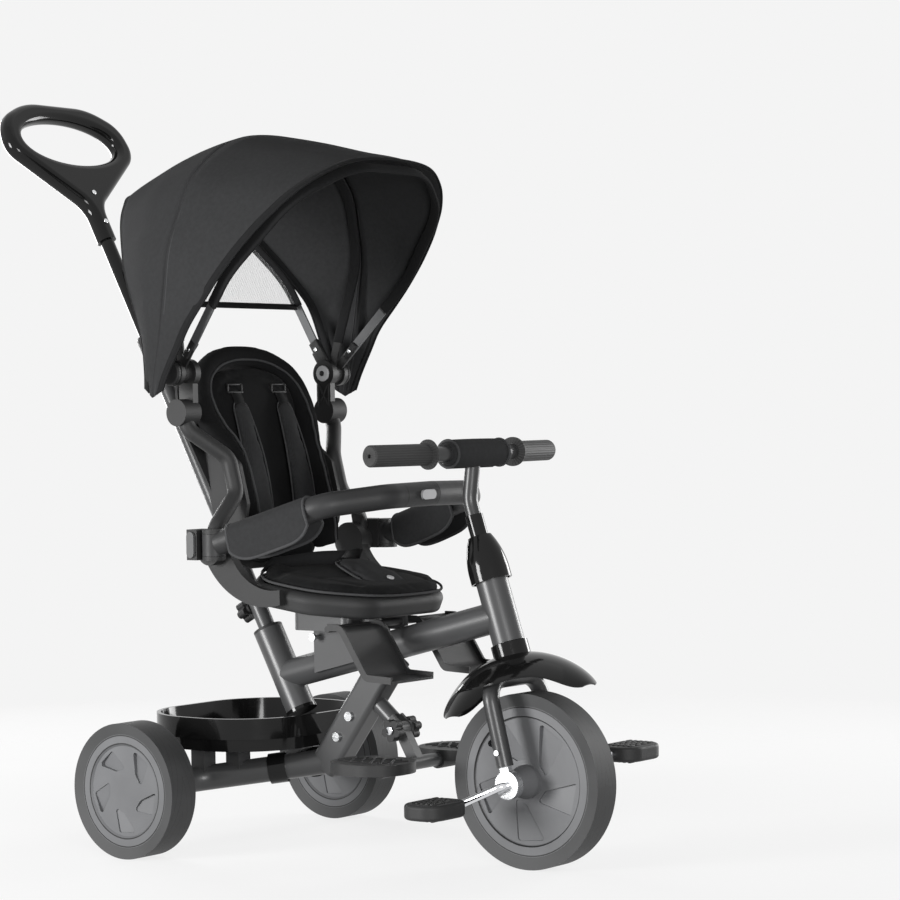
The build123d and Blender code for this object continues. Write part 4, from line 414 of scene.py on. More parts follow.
def open_net(name, shade, pitch):
    """A knitted net: white yarn with open diamonds."""
    finish = Finish(name, shade, 0.8)
    _, y, z = finish.axes()
    rise = z * 1.2
    turn = math.pi / pitch
    one = ((y + rise) * turn).of("SINE").of("ABSOLUTE")
    two = ((y - rise) * turn).of("SINE").of("ABSOLUTE")
    yarn = one.of("MINIMUM", two) < 0.24
    fuzz = finish.grain(500.0, 2.0)
    finish.colour_varies(fuzz, 0.8, 1.0)
    finish.feed(finish.shader, {"Alpha": yarn * 0.8 + 0.06})
    finish.bump(fuzz, 0.3, 0.0004)
    return finish


def foam_skin(name, shade, seams):
    """The safety bar's foam skin: soft leather grain with creases, and a dark ring at each seam."""
    finish = Finish(name, shade, 0.5, Specular_IOR_Level=0.3)
    grain = finish.pebbles(520.0)
    creases = finish.grain(120.0, 4.0)
    patches = finish.grain(15.0, 3.0)
    rings = finish.lines(finish.axes()[1], seams, 0.0008)
    tone = (patches * 0.5 + 0.45 - rings).of("MAXIMUM", 0.0)
    finish.colour_varies(tone, 0.1, (1.35, 1.36, 1.4))
    finish.roughness_varies(creases, 0.42, 0.6)
    finish.bump(grain * 0.7 + creases * 0.3 - rings, 0.3, 0.0006)
    return finish


def ribbed_rubber(name, shade, bar):
    """Grip rubber with flutes along the bar."""
    ahead, straight, sweep, reach, height = bar
    finish = Finish(name, shade, 0.6, Specular_IOR_Level=0.3)
    x, y, z = finish.axes()
    out = (y.of("ABSOLUTE") - straight).of("MAXIMUM", 0.0)
    angle = (z - height).of("ARCTAN2", x - ahead + out * (sweep / reach))
    flutes = (angle * 26.0).of("SINE") * 0.5 + 0.5
    pores = finish.grain(800.0, 2.0)
    finish.colour_varies(flutes * 0.6 + pores * 0.4, 0.7, 1.3)
    finish.roughness_varies(pores, 0.52, 0.7)
    finish.bump(flutes * 0.8 + pores * 0.2, 0.5, 0.0009)
    return finish


def plated_metal(name, colour, roughness, brush):
    """Plated steel with fine drawn lines and small bright wear."""
    finish = Finish(name, colour, roughness, Metallic=1.0)
    lines = finish.grain(brush, 4.0)
    wear = finish.grain(40.0, 3.0)
    finish.colour_varies(wear, 0.8, 1.0)
    finish.roughness_varies(lines, roughness * 0.7, roughness * 1.4)
    finish.bump(lines, 0.05, 0.0003)
    return finish


def hoop_strip(name, shade, black, pivot, low, high):
    """Flat grey hoop steel with rolled lines, bare over one stretch and black elsewhere."""
    finish = Finish(name, shade, 0.4)
    x, _, z = finish.axes()
    away = about_axle(x, z, pivot)
    bare = (away > low) * (away < high)
    rolled = (x * 2600.0).of("SINE") * 0.5 + 0.5
    wear = finish.grain(60.0, 3.0)
    tone = bare * (0.8 + wear * 0.2)
    finish.colour_varies(tone, black / shade, (1.0, 1.02, 1.05))
    finish.roughness_varies(wear, 0.34, 0.5)
    finish.bump(rolled * bare * 0.5 + wear * 0.5, 0.2, 0.0004)
    return finish


# Finishes
FRONT_HUB = at(0, 0, FRONT_WHEEL_R)
# Handlebar: ahead, half of its straight, sweep back, reach of the sweep, height
BAR_LINE = ((FRONT_AXLE_X + BAR_AHEAD) / 1000, 0.07, 0.021, 0.136, BAR_UP / 1000)

frame_paint = powder_paint("frame_paint", 0.055)
fork_paint = powder_paint("fork_paint", 0.035)
gloss_black = gloss_moulding("gloss_black", 0.006)
matte_black = grained_moulding("matte_black", 0.018)
pan_black = grained_moulding("pan_black", 0.024, 900.0, 0.5, 0.6)
pale_button = grained_moulding("pale_button", 0.5, 1300.0, 0.15, 0.45)
clip_grey = grained_moulding("clip_grey", 0.1, 1100.0, 0.3, 0.5)
zinc_plate = plated_metal("zinc_plate", (0.78, 0.79, 0.8), 0.24, 260.0)
bright_chrome = plated_metal("bright_chrome", (0.82, 0.83, 0.85), 0.08, 150.0)
grip_rubber = ribbed_rubber("grip_rubber", 0.03, BAR_LINE)
bar_skin = foam_skin("bar_skin", 0.022, (-0.068, -0.006))
liner_cloth = woven_cloth("liner_cloth", 0.012, 0.0016)
pad_cloth = woven_cloth("pad_cloth", 0.032, 0.0022)
piping_cloth = woven_cloth("piping_cloth", 0.06, 0.0012)
canopy_cloth = woven_cloth("canopy_cloth", 0.034, 0.0018, True)
hem_cloth = woven_cloth("hem_cloth", 0.017, 0.0016)
webbing = woven_cloth("webbing", 0.015, 0.0014)
net_white = open_net("net_white", 0.85, 0.0042)
SLEEVE_STARTS = {"rear": 128.0, "mid": 46.0, "front": 128.0}

SLOT_FINISHES = {
    "frame_paint": frame_paint,
    "zinc": zinc_plate,
    "chrome": bright_chrome,
    "gloss_black": gloss_black,
    "matte_black": matte_black,
    "grip_rubber": grip_rubber,
    "woven_black": liner_cloth,
    "mesh_white": net_white,
    "bar_skin": bar_skin,
    "button_grey": pale_button,
}
NODE_FINISHES = {
    "fork": fork_paint,
    "handlebar": fork_paint,
    "back_arms": grained_moulding("arm_black", 0.019, 900.0, 0.3, 0.55),
    "seat_pan": pan_black,
    "bar_button_left": clip_grey,
    "bar_button_right": clip_grey,
    "leg_rest": grained_moulding("leg_rest_black", 0.024, 1000.0, 0.4, 0.5),
    "front_wheel_disc": wheel_moulding("front_wheel_grey", 0.13, FRONT_HUB, (0.092, 0.1055)),
    "front_tyre": tyre_foam("front_tyre_foam", 0.06, FRONT_HUB, FRONT_WHEEL_R / 1000, 0.023, 14),
}
for name, side in SIDES:
    hub = at(-WHEELBASE, side * HALF_TRACK, REAR_WHEEL_R)
    disc = wheel_moulding(f"rear_wheel_grey_{name}", 0.13, hub, (0.07, 0.082))
    tyre = tyre_foam(f"rear_tyre_foam_{name}", 0.06, hub, REAR_WHEEL_R / 1000, 0.025, 12)
    NODE_FINISHES[f"rear_disc_{name}"] = disc
    NODE_FINISHES[f"rear_tyre_{name}"] = tyre

for hoop, sleeve in SLEEVE_STARTS.items():
    strip = hoop_strip(f"hoop_grey_{hoop}", 0.11, 0.014, PIVOT, 0.05, sleeve / 1000)
    NODE_FINISHES[f"canopy_{hoop}_hoop"] = strip

for row in frame["record"]["subparts"]:
    node = nodes[row["node"]]
    finish = NODE_FINISHES.get(row["node"]) or SLOT_FINISHES[row["material_slot"]]
    node.data.materials.clear()
    node.data.materials.append(finish.material)


# Making pieces
def placed(name, data):
    """A new object in the scene."""
    holder = bpy.data.objects.new(name, data)
    bpy.context.scene.collection.objects.link(holder)
    return holder


def show(name, form, finish, body, stands_for=()):
    """Puts a mesh or bmesh in the scene as a piece of a body."""
    mesh = mesh_of(name, form) if isinstance(form, bmesh.types.BMesh) else form
    piece = placed(name, mesh)
    mesh.materials.clear()
    mesh.materials.append(finish.material)
    mesh.polygons.foreach_set("use_smooth", [True] * len(mesh.polygons))
    if stands_for:
        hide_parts(*stands_for)
    if body:
        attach(piece, body)
    return piece


def mesh_of(name, bm):
    """A mesh from a bmesh, which is then freed."""
    mesh = bpy.data.meshes.new(name)
    bm.to_mesh(mesh)
    bm.free()
    return mesh


def chain(bm, points, closed=False):
    """A row of joined points, as its edges."""
    row = [bm.verts.new(p) for p in points]
    following = row[1:] + row[:1] if closed else row[1:]
    return [bm.edges.new(pair) for pair in zip(row, following)]


def piping(name, points, radius, body, closed=False, finish=piping_cloth):
    """A round cord sewn along a line of points."""
    line = bpy.data.curves.new(name, "CURVE")
    line.dimensions = "3D"
    spline = line.splines.new("NURBS")
    spline.points.add(len(points) - 1)
    for knot, point in zip(spline.points, points):
        knot.co = (*point, 1.0)
    spline.order_u = 3
    spline.use_cyclic_u = closed
    spline.use_endpoint_u = not closed
    spline.resolution_u = 3
    line.bevel_depth = radius / 1000
    line.bevel_resolution = 2
    line.use_fill_caps = True
    holder = bpy.data.objects.new(name + "_line", line)
    mesh = bpy.data.meshes.new_from_object(holder)
    bpy.data.objects.remove(holder)
    show(name, mesh, finish, body)


def walled(piece, thick, offset):
    """Gives a sheet its thickness, in millimetres."""
    wall = piece.modifiers.new("wall", "SOLIDIFY")
    wall.thickness = thick / 1000
    wall.offset = offset


def skin(rows, closed=True):
    """Rows of points bridged into one skin, closed at its ends if the rows are rings."""
    bm = bmesh.new()
    loops = [chain(bm, row, closed) for row in rows]
    for first, second in zip(loops, loops[1:]):
        bmesh.ops.bridge_loops(bm, edges=first + second)
    if closed:
        for loop in (loops[0], loops[-1]):
            bmesh.ops.holes_fill(bm, edges=loop, sides=0)
    bmesh.ops.recalc_face_normals(bm, faces=bm.faces)
    return bm


def ribbon(name, points, across, width, thick, finish, body):
    """A flat strap or binding along a line of points."""
    half = Vector(across).normalized() * width / 2000
    bm = skin(([p - half for p in points], [p + half for p in points]), False)
    walled(show(name, bm, finish, body), thick, 0.0)


def block(bm, place, size, corner, turn=None):
    """A rounded block, in metres, with its corners beveled."""
    kept = set(bm.verts)
    made = bmesh.ops.create_cube(bm, size=1.0)["verts"]
    bmesh.ops.scale(bm, vec=Vector(size), verts=made)
    edges = list({edge for vert in made for edge in vert.link_edges})
    bmesh.ops.bevel(
        bm, geom=edges, offset=corner, segments=2, profile=0.5, affect="EDGES", material=-1,
        clamp_overlap=True,
    )
    fresh = [vert for vert in bm.verts if vert not in kept]
    if turn:
        bmesh.ops.rotate(bm, verts=fresh, cent=(0, 0, 0), matrix=turn)
    bmesh.ops.translate(bm, verts=fresh, vec=place)


def button_head(bm, place, axis, radius, height, rounding):
    """A low round head with a rounded rim, standing on a place along an axis."""
    kept = set(bm.verts)
    made = bmesh.ops.create_cone(
        bm, cap_ends=True, segments=24, radius1=radius, radius2=radius, depth=height
    )["verts"]
    rim = [
        edge
        for edge in {edge for vert in made for edge in vert.link_edges}
        if all(vert.co.z > 0 for vert in edge.verts)
    ]
    bmesh.ops.bevel(bm, geom=rim, offset=rounding, segments=3, profile=0.5, affect="EDGES", material=-1)
    fresh = [vert for vert in bm.verts if vert not in kept]
    turn = Vector((0, 0, 1)).rotation_difference(Vector(axis)).to_matrix()
    bmesh.ops.rotate(bm, verts=fresh, cent=(0, 0, 0), matrix=turn)
    bmesh.ops.translate(bm, verts=fresh, vec=Vector(place) + Vector(axis).normalized() * height / 2)


def turns(count):
    """Angles of a whole turn in even steps."""
    return [2 * math.pi * step / count for step in range(count)]


def along_way(route, index):
    """The way a route takes at one of its points."""
    return route[min(index + 1, len(route) - 1)] - route[max(index - 1, 0)]


# Padding
VOXEL = 0.005
PUFF_FRAMES = 18
AIR_CLOTH = {
    "quality": 4, "mass": 0.15, "tension_stiffness": 25.0, "compression_stiffness": 25.0,
    "shear_stiffness": 12.0, "bending_stiffness": 0.6, "use_pressure": True,
}


def remeshed(name, mesh):
    """The same skin on an even grid of small faces."""
    holder = placed(name + "_form", mesh)
    grid = holder.modifiers.new("grid", "REMESH")
    grid.mode = "VOXEL"
    grid.voxel_size = VOXEL
    graph = bpy.context.evaluated_depsgraph_get()
    made = bpy.data.meshes.new_from_object(holder.evaluated_get(graph))
    bpy.data.objects.remove(holder)
    return made


def puffed(name, mesh, pressure, limit):
    """The skin swollen by air from inside, as cloth, no point going further than a limit in millimetres."""
    scene = bpy.context.scene
    holder = placed(name + "_air", mesh)
    cloth = holder.modifiers.new("air", "CLOTH")
    for key, value in AIR_CLOTH.items():
        setattr(cloth.settings, key, value)
    cloth.settings.uniform_pressure_force = pressure
    cloth.settings.effector_weights.gravity = 0.0
    for step in range(1, PUFF_FRAMES + 1):
        scene.frame_set(step)
    graph = bpy.context.evaluated_depsgraph_get()
    blown = bpy.data.meshes.new_from_object(holder.evaluated_get(graph))
    for start, end in zip(mesh.vertices, blown.vertices):
        move = end.co - start.co
        if move.length > limit / 1000:
            end.co = start.co + move.normalized() * limit / 1000
    bpy.data.objects.remove(holder)
    scene.frame_set(1)
    return blown


def sewn(mesh, lines, width, depth, inward):
    """Draws a skin in along sewn lines, most at the line itself."""
    for vert in mesh.vertices:
        pull = 0.0
        for line in lines:
            near = min((vert.co - point).length for point in line)
            pull = max(pull, math.exp(-((near * 1000 / width) ** 2)))
        vert.co += inward * depth / 1000 * pull


def soft_body(name, rings, pressure, limit):
    """A stuffed form from rings of points: bridged, gridded, then swollen."""
    return puffed(name, remeshed(name, mesh_of(name, skin(rings))), pressure, limit)


def padding(name, form, finish, body, stands_for, thick=0.0):
    """Shows a stuffed piece, smoothed. An open skin is given its thickness first."""
    piece = show(name, form, finish, body, stands_for)
    if thick:
        walled(piece, thick, 0.0)
    piece.modifiers.new("round", "SUBSURF")


def rounded_outline(points, count):
    """A closed smooth outline through a few points."""
    loop = list(points) + [points[0], points[1], points[2]]
    line = smooth_line([Vector((x, y, 0)) for x, y in [points[-1]] + loop], 4 * count)
    start = min(range(len(line) // 2), key=lambda i: (line[i] - Vector((*points[0], 0))).length)
    end = max(
        range(len(line) // 2, len(line)), key=lambda i: -(line[i] - Vector((*points[0], 0))).length
    )
    return smooth_line(line[start:end + 1], count + 1)[:count]


def mirrored_outline(half):
    """An outline of (along, across) points completed by its mirror image."""
    return list(half) + [(x, -y) for x, y in reversed(half) if abs(y) > 1e-6]


def shrunk(outline, amount):
    """An outline drawn in towards its middle by about an amount."""
    middle = sum(outline, Vector()) / len(outline)
    return [p + (middle - p).normalized() * amount for p in outline]


# Canopy
def sheet_between(first, second, sag):
    """A cloth skin stretched between two hoop lines, hanging in between, with folds drawn to the pivot."""
    bm = bmesh.new()
    share = bm.verts.layers.float.new("share")
    turn = bm.verts.layers.float.new("turn")
    edges = []
    for value, points in ((0.0, first), (1.0, second)):
        row = chain(bm, points)
        edges += row
        bm.verts.ensure_lookup_table()
        for index, vert in enumerate(bm.verts[-len(points):]):
            vert[share] = value
            vert[turn] = index / (len(points) - 1)
    bridged = bmesh.ops.bridge_loops(bm, edges=edges)["edges"]
    bmesh.ops.subdivide_edges(bm, edges=bridged, cuts=SPAN_CUTS, use_grid_fill=True)
    cloth_map = bm.loops.layers.uv.new("cloth")
    for face in bm.faces:
        for corner in face.loops:
            corner[cloth_map].uv = (corner.vert[turn] * 0.9, corner.vert[share] * 0.2)
    for vert in bm.verts:
        hang = 4 * vert[share] * (1 - vert[share])
        inward = (Vector((vert.co.x, 0, CANOPY_MIDDLE_UP)) - vert.co).normalized()
        fold = noise.noise(Vector((vert[turn] * 26.0, vert[share] * 1.5, 3.0)))
        ripple = noise.noise(Vector((vert[turn] * 9.0, vert[share] * 3.0, 9.0)))
        reach = min(1.0, 8.0 * min(vert[turn], 1 - vert[turn]))
        vert.co += inward * (hang * (sag * reach + 2.2 * fold + 2.5 * ripple)) / 1000
    bmesh.ops.recalc_face_normals(bm, faces=bm.faces)
    return bm


def fold_line(angle):
    """Two points either side of the pivot at the fold's reach, square to a line leaning forward by an angle
    at the pivot.
    """
    across = square_to(angle)
    return PIVOT - across * FOLD_REACH / 1000, PIVOT + across * FOLD_REACH / 1000


arches = {hoop: smooth_line(cloth_arch(hoop), CHAIN_POINTS) for hoop in HOOP_BODIES}

# Each panel's cloth lines, sag, bodies, fold angle, node and hoops, flat cut and its area
CANOPY_PANELS = {
    "canopy_rear_cover": (
        (arches["rear"], arches["mid"], -9.0), ("backrest", "canopy_mid"), -13.0, "canopy_rear_fabric",
        ("canopy_rear_hoop", "canopy_mid_hoop"), (1.02, 0.25), 0.15,
    ),
    "canopy_front_cover": (
        (arches["mid"], arches["front"], -1.0), ("canopy_mid", "canopy_front"), 25.0, "canopy_front_fabric",
        ("canopy_mid_hoop", "canopy_front_hoop"), (1.12, 0.25), 0.15,
    ),
}
for name, (lines, bodies, angle, stands_for, holders, flat, area) in CANOPY_PANELS.items():
    cover = show(name, sheet_between(*lines), canopy_cloth, None, (stands_for,))
    start, end = fold_line(angle)
    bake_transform(cover)
    walled(cover, CLOTH_THICK, 1.0)


def pushed_out(points, amount):
    """Points of a hoop line moved away from the canopy's middle."""
    return [p + (p - Vector((p.x, 0, CANOPY_MIDDLE_UP))).normalized() * amount / 1000 for p in points]


def shifted(points, other, amount):
    """Points of a hoop line moved along the cloth towards another line."""
    return [p + (q - p).normalized() * amount / 1000 for p, q in zip(points, other)]


HEM_LIFT = 0.9
HEM_WIDTH = 13.0
STITCH_LIFT = 0.8
STITCH_IN = 11.0
SEAM_ASIDE = 5.0
for hoop in ("front", "rear"):
    name = f"canopy_{hoop}_hem"
    body = HOOP_BODIES[hoop]
    edge = pushed_out(arches[hoop], HEM_LIFT)
    bm = skin((edge, shifted(edge, arches["mid"], HEM_WIDTH)), False)
    walled(show(name, bm, hem_cloth, body), CLOTH_THICK, 1.0)
    piping(name + "_edge", edge, 1.7, body, False, hem_cloth)
    stitch = shifted(pushed_out(edge, STITCH_LIFT), arches["mid"], STITCH_IN)
    piping(name + "_stitch", stitch, 0.45, body)
for hoop in ("rear", "front"):
    line = shifted(pushed_out(arches["mid"], STITCH_LIFT), arches[hoop], SEAM_ASIDE)
    piping(f"canopy_mid_seam_{hoop}", line, 0.7, "canopy_mid")

# Cloth sleeves over the hoops
SLEEVE_HALF = (9.2, 3.6)
for hoop, body in HOOP_BODIES.items():
    half = [Vector((left, away, 0)) for left, away in HOOP_CORNERS[hoop]]
    route = evened(bent_line(half + [Vector((-p.x, p.y, 0)) for p in reversed(half)], HOOP_BEND), 181)
    route = [p for p in route if p.y >= SLEEVE_STARTS[hoop]]
    across = square_to(HOOP_LEANS[hoop])
    rings = []
    for index, place in enumerate(route):
        way = along_way(route, index)
        out = Vector((way.y, -way.x, 0)).normalized()
        ring = []
        for angle in turns(16):
            wide = SLEEVE_HALF[0] * math.copysign(abs(math.cos(angle)) ** 0.6, math.cos(angle))
            spot = place + out * SLEEVE_HALF[1] * math.sin(angle)
            ring.append(on_hoop(hoop, spot.x, spot.y) + across * wide / 1000)
        rings.append(ring)
    show(f"canopy_{hoop}_sleeve", skin(rings), hem_cloth, body)

# Rear net window
NET_LOW = 128.0
NET_CORNERS = ((162.4, 13.0), (173.5, 180.0), (132.0, 259.0), (58.0, 326.0), (0.0, 326.0))
net_half = [Vector((left, away, 0)) for left, away in NET_CORNERS]
net_route = [p for p in evened(bent_line(net_half, HOOP_BEND), 97) if p.y >= NET_LOW]
net_line = [on_hoop("rear", p.x, p.y) for p in net_route]
bm = bmesh.new()
bmesh.ops.bridge_loops(bm, edges=chain(bm, net_line) + chain(bm, mirrored(net_line)))
cross = [
    edge for edge in bm.edges
    if abs(edge.verts[0].co.z - edge.verts[1].co.z) < 1e-4 and edge.calc_length() > 0.02
]
bmesh.ops.subdivide_edges(bm, edges=cross, cuts=11, use_grid_fill=True)
bmesh.ops.remove_doubles(bm, verts=bm.verts, dist=1e-5)
bmesh.ops.recalc_face_normals(bm, faces=bm.faces)
net = show("canopy_net", bm, net_white, "backrest", ("canopy_mesh",))
low_edge = [on_hoop("rear", left, NET_LOW) for left in (170, 130, 90, 45, 0, -45, -90, -130, -170)]
ribbon("canopy_net_hem", low_edge, (-0.55, 0, 0.83), 10.0, 2.2, hem_cloth, "backrest")

# Canopy ends and pivots
CLEVIS_BLOCKS = {"rear": ((30.0, 22.0), (46.0, 18.0)), "front": ((46.0, 12.0),)}
RIVET_AWAY = 46.0
for hoop in CLEVIS_BLOCKS:
    body = HOOP_BODIES[hoop]
    bm = bmesh.new()
    pins = bmesh.new()
    square = Matrix.Rotation(math.radians(HOOP_LEANS[hoop]), 3, "Y")
    for _, side in SIDES:
        for away, wide in CLEVIS_BLOCKS[hoop]:
            place = on_hoop(hoop, side * hoop_left(hoop, away), away)
            block(bm, place, (wide / 1000, 0.0085, 0.03), 0.002, square)
        for facing in (1, -1):
            rivet = on_hoop(hoop, side * hoop_left(hoop, RIVET_AWAY) + facing * 4.2, RIVET_AWAY)
            button_head(pins, rivet, (0, facing, 0), 0.0034, 0.002, 0.0008)
    show(f"canopy_{hoop}_clevis", bm, matte_black, body)
    show(f"canopy_{hoop}_rivets", pins, zinc_plate, body)

# Pivot caps inside and domes outside, and the ribs of the links below them
DOME_LEFT = 190.9
CAP_LEFT = 152.0
CAP_THICK = 0.003
RIB_LEFT = 151.6
RIB_DROP = 34.0
domes, caps, screws, ribs = [bmesh.new() for _ in range(4)]
for _, side in SIDES:
    inward = Vector((0, -side, 0))
    dome = at(PIVOT_PLACE[0], side * DOME_LEFT, PIVOT_PLACE[1])
    button_head(domes, dome, -inward, 0.0185, 0.008, 0.003)
    hub = at(PIVOT_PLACE[0], side * CAP_LEFT, PIVOT_PLACE[1])
    button_head(caps, hub, inward, 0.0125, CAP_THICK, 0.0012)
    button_head(screws, hub + inward * CAP_THICK, inward, 0.0042, 0.0016, 0.0006)
    rib = at(PIVOT_PLACE[0], side * RIB_LEFT, PIVOT_PLACE[1] - RIB_DROP)
    for lean in (28.0, -28.0):
        block(ribs, rib, (0.0024, 0.0024, 0.036), 0.0006, Matrix.Rotation(math.radians(lean), 3, "Y"))
    for shift in (-0.0105, 0.0105):
        block(ribs, rib + Vector((shift, 0, 0)), (0.0026, 0.0024, 0.036), 0.0006)
show("pivot_domes", domes, matte_black, "backrest")
show("pivot_caps", caps, pale_button, "backrest")
show("pivot_screws", screws, matte_black, "backrest")
show("link_ribs", ribs, matte_black, "backrest")

# Back liner
PANEL_HALF = (
    (-22.0, 56.0), (0.0, 68.0), (60.0, 72.0), (120.0, 73.0), (150.0, 77.0), (185.0, 90.0), (225.0, 98.0),
    (258.0, 91.0), (277.0, 68.0), (285.0, 36.0), (287.0, 0.0),
)
PANEL_LAYERS = ((-29.0, 6.0), (-20.0, 0.0), (-9.0, 1.5), (-3.5, 14.0))
panel_outline = rounded_outline(mirrored_outline(PANEL_HALF), 72)
panel_rings = []
for forward, inset in PANEL_LAYERS:
    panel_rings.append([on_back(p.x, p.y, forward) for p in shrunk(panel_outline, inset)])
panel_mesh = soft_body("back_panel", panel_rings, 4.0, 4.5)
back_inward = (on_back(0, 0, -1) - on_back(0, 0, 0)).normalized()
HEAD_SEAM = ((196.0, 78.0), (238.0, 76.0), (262.0, 46.0), (268.0, 0.0))
seam_half = [on_back(u, y, 0) for u, y in HEAD_SEAM]
head_seam = smooth_line(seam_half + mirrored(seam_half[-2::-1]), 60)
waist_seam = [on_back(150.0, y, 0) for y in range(-70, 71, 5)]
sewn(panel_mesh, [head_seam], 7.0, 4.5, back_inward)
sewn(panel_mesh, [waist_seam], 5.0, 2.0, back_inward)
padding("back_panel", panel_mesh, liner_cloth, "backrest", ("back_pad",))

# Border roll round the back liner: place along, left, forward middle, half across, half deep
BORDER_HALF = (
    (-6.0, 90.0, 2.0, 9.0, 26.0), (30.0, 90.0, 4.0, 10.0, 31.0), (70.0, 90.0, 5.0, 10.0, 32.0),
    (105.0, 90.0, 5.0, 10.0, 31.0), (135.0, 91.0, 4.0, 10.0, 29.0), (158.0, 95.0, 1.0, 10.5, 26.0),
    (185.0, 107.0, -4.0, 12.5, 22.0), (215.0, 114.0, -8.0, 15.0, 18.5), (245.0, 112.0, -11.0, 16.5, 16.0),
    (272.0, 97.0, -13.0, 17.0, 14.5), (292.0, 66.0, -15.0, 16.5, 13.5), (301.0, 32.0, -15.5, 16.0, 13.0),
    (303.0, 0.0, -16.0, 16.0, 13.0),
)
border_route = list(BORDER_HALF) + [(u, -y, n, a, b) for u, y, n, a, b in reversed(BORDER_HALF[:-1])]
border_path = smooth_line([Vector((u, y, n)) for u, y, n, a, b in border_route], 97)


def border_size(place):
    """Half width and half depth of the border roll near a place."""
    weights = [max(1e-3, (Vector(row[:3]) - place).length) ** -3 for row in border_route]
    wide, deep = [
        sum(weight * row[column] for weight, row in zip(weights, border_route)) / sum(weights)
        for column in (3, 4)
    ]
    return wide, deep


border_rings = []
edge_line = []
for index, place in enumerate(border_path):
    way = along_way(border_path, index)
    out = Vector((way.y, -way.x, 0)).normalized()
    wide, deep = border_size(place)
    ring = []
    for angle in turns(20):
        spot = place + out * wide * math.cos(angle) + Vector((0, 0, deep * math.sin(angle)))
        ring.append(on_back(*spot))
    border_rings.append(ring)
    edge_line.append(on_back(*(place + out * wide * 0.55 + Vector((0, 0, deep * 0.88)))))
border_mesh = soft_body("back_border", border_rings, 3.0, 1.5)
padding("back_border", border_mesh, liner_cloth, "backrest", ("back_bolsters",))
piping("back_border_piping", edge_line, 1.8, "backrest")

# Shoulder pads and harness
SHOULDER_LEFT = 50.0
SHOULDER_LAYERS = ((1.6, 4.0), (6.0, 0.0), (10.0, 6.0))
SHOULDER_HALF = ((44.0, 20.0), (60.0, 25.0), (130.0, 23.0), (200.0, 17.0), (222.0, 12.0))
STRAP_RISE = ((220.0, 8.0), (232.0, 6.0), (241.0, 2.0), (248.0, -5.0))
SLIDER_ALONG = 246.0
SLIDER_OFF = 3.5
shoulder_outline = rounded_outline(mirrored_outline(SHOULDER_HALF), 48)


def on_shoulder(side, along, left, forward):
    """A place on a shoulder pad, which bows forward in its middle."""
    bow = 8.0 * math.sin(math.pi * min(1.0, max(0.0, (along - 40.0) / 190.0)))
    return on_back(along, side * SHOULDER_LEFT + left, forward + bow)


for name, side in SIDES:
    rings = []
    for forward, inset in SHOULDER_LAYERS:
        rings.append([on_shoulder(side, p.x, p.y, forward) for p in shrunk(shoulder_outline, inset)])
    mesh = soft_body(f"shoulder_pad_{name}", rings, 3.0, 3.0)
    stands_for = ("shoulder_pads",) if side > 0 else ()
    padding(f"shoulder_pad_{name}", mesh, pad_cloth, "backrest", stands_for)
    rim = [on_shoulder(side, p.x, p.y * 1.03, 6.0) for p in shoulder_outline]
    piping(f"shoulder_piping_{name}", rim, 1.3, "backrest", True)
    strap = smooth_line([on_back(along, side * SHOULDER_LEFT, off) for along, off in STRAP_RISE], 12)
    ribbon(f"shoulder_strap_{name}", strap, (0, 1, 0), 22.0, 1.6, webbing, "backrest")
    bm = bmesh.new()
    left = side * SHOULDER_LEFT
    for shift in (-1, 1):
        block(bm, on_back(SLIDER_ALONG + shift * 6.0, left, SLIDER_OFF), (0.003, 0.034, 0.003), 0.0012)
        block(bm, on_back(SLIDER_ALONG, left + shift * 15.5, SLIDER_OFF), (0.003, 0.003, 0.013), 0.0012)
    show(f"shoulder_slider_{name}", bm, matte_black, "backrest")

# Seat liner
LINER_HALF = (
    (-110.0, 30.0), (-92.0, 76.0), (-58.0, 122.0), (-10.0, 138.0), (56.0, 135.0), (104.0, 98.0),
    (130.0, 48.0),
)
LINER_LAYERS = ((0.9, 3.0), (4.5, 0.0), (9.0, 2.5), (12.0, 15.0), (13.5, 50.0))
liner_outline = rounded_outline(mirrored_outline(LINER_HALF), 72)


def liner_rise(place):
    """How much further up each layer of the liner is stretched at its rear corners, as a share."""
    behind = min(max((-place.x - 38.0) / 60.0, 0.0), 1.0)
    beside = min(abs(place.y) / 100.0, 1.0)
    return 1.5 * behind * beside


def liner_ring(up, inset):
    """One layer of the liner, drawn in from its outline."""
    return [on_seat(p.x, p.y, up * (1 + liner_rise(p))) for p in shrunk(liner_outline, inset)]


liner_rings = [liner_ring(up, inset) for up, inset in LINER_LAYERS]
liner_mesh = soft_body("seat_liner", liner_rings, 3.5, 4.0)
seat_down = (on_seat(0, 0, -1) - on_seat(0, 0, 0)).normalized()
seat_seams = []
for _, side in SIDES:
    bowed = [(x, side * (92.0 - (x / 100.0) ** 2 * 18.0)) for x in range(-95, 96, 6)]
    seat_seams.append([on_seat(x, y, 13.0) for x, y in bowed])
seat_cross = [on_seat(40.0 - (y / 90.0) ** 2 * 14.0, y, 14.0) for y in range(-88, 89, 5)]
sewn(liner_mesh, seat_seams, 7.0, 3.2, seat_down)
sewn(liner_mesh, [seat_cross], 5.0, 1.8, seat_down)
padding("seat_liner", liner_mesh, liner_cloth, "seat", ("seat_pad",))
piping("seat_liner_piping", liner_ring(4.6, -1.2), 2.0, "seat", True)

# Crotch pad with its snap, and the lap straps
TONGUE_HALF = ((2.0, 22.0), (14.0, 36.0), (52.0, 41.0), (84.0, 38.0), (99.0, 24.0))
TONGUE_DEEP = 11.0
SNAP_ALONG = 84.0
TONGUE_LAYERS = ((1.0, 5.0), (6.0, 0.0), (11.0, 4.0), (14.0, 14.0))
tongue_outline = rounded_outline(mirrored_outline(TONGUE_HALF), 48)


def tongue_lift(along):
    """How high the crotch pad's underside lies over the seat's slope."""
    return 38.0 - (along - 2.0) * 0.27


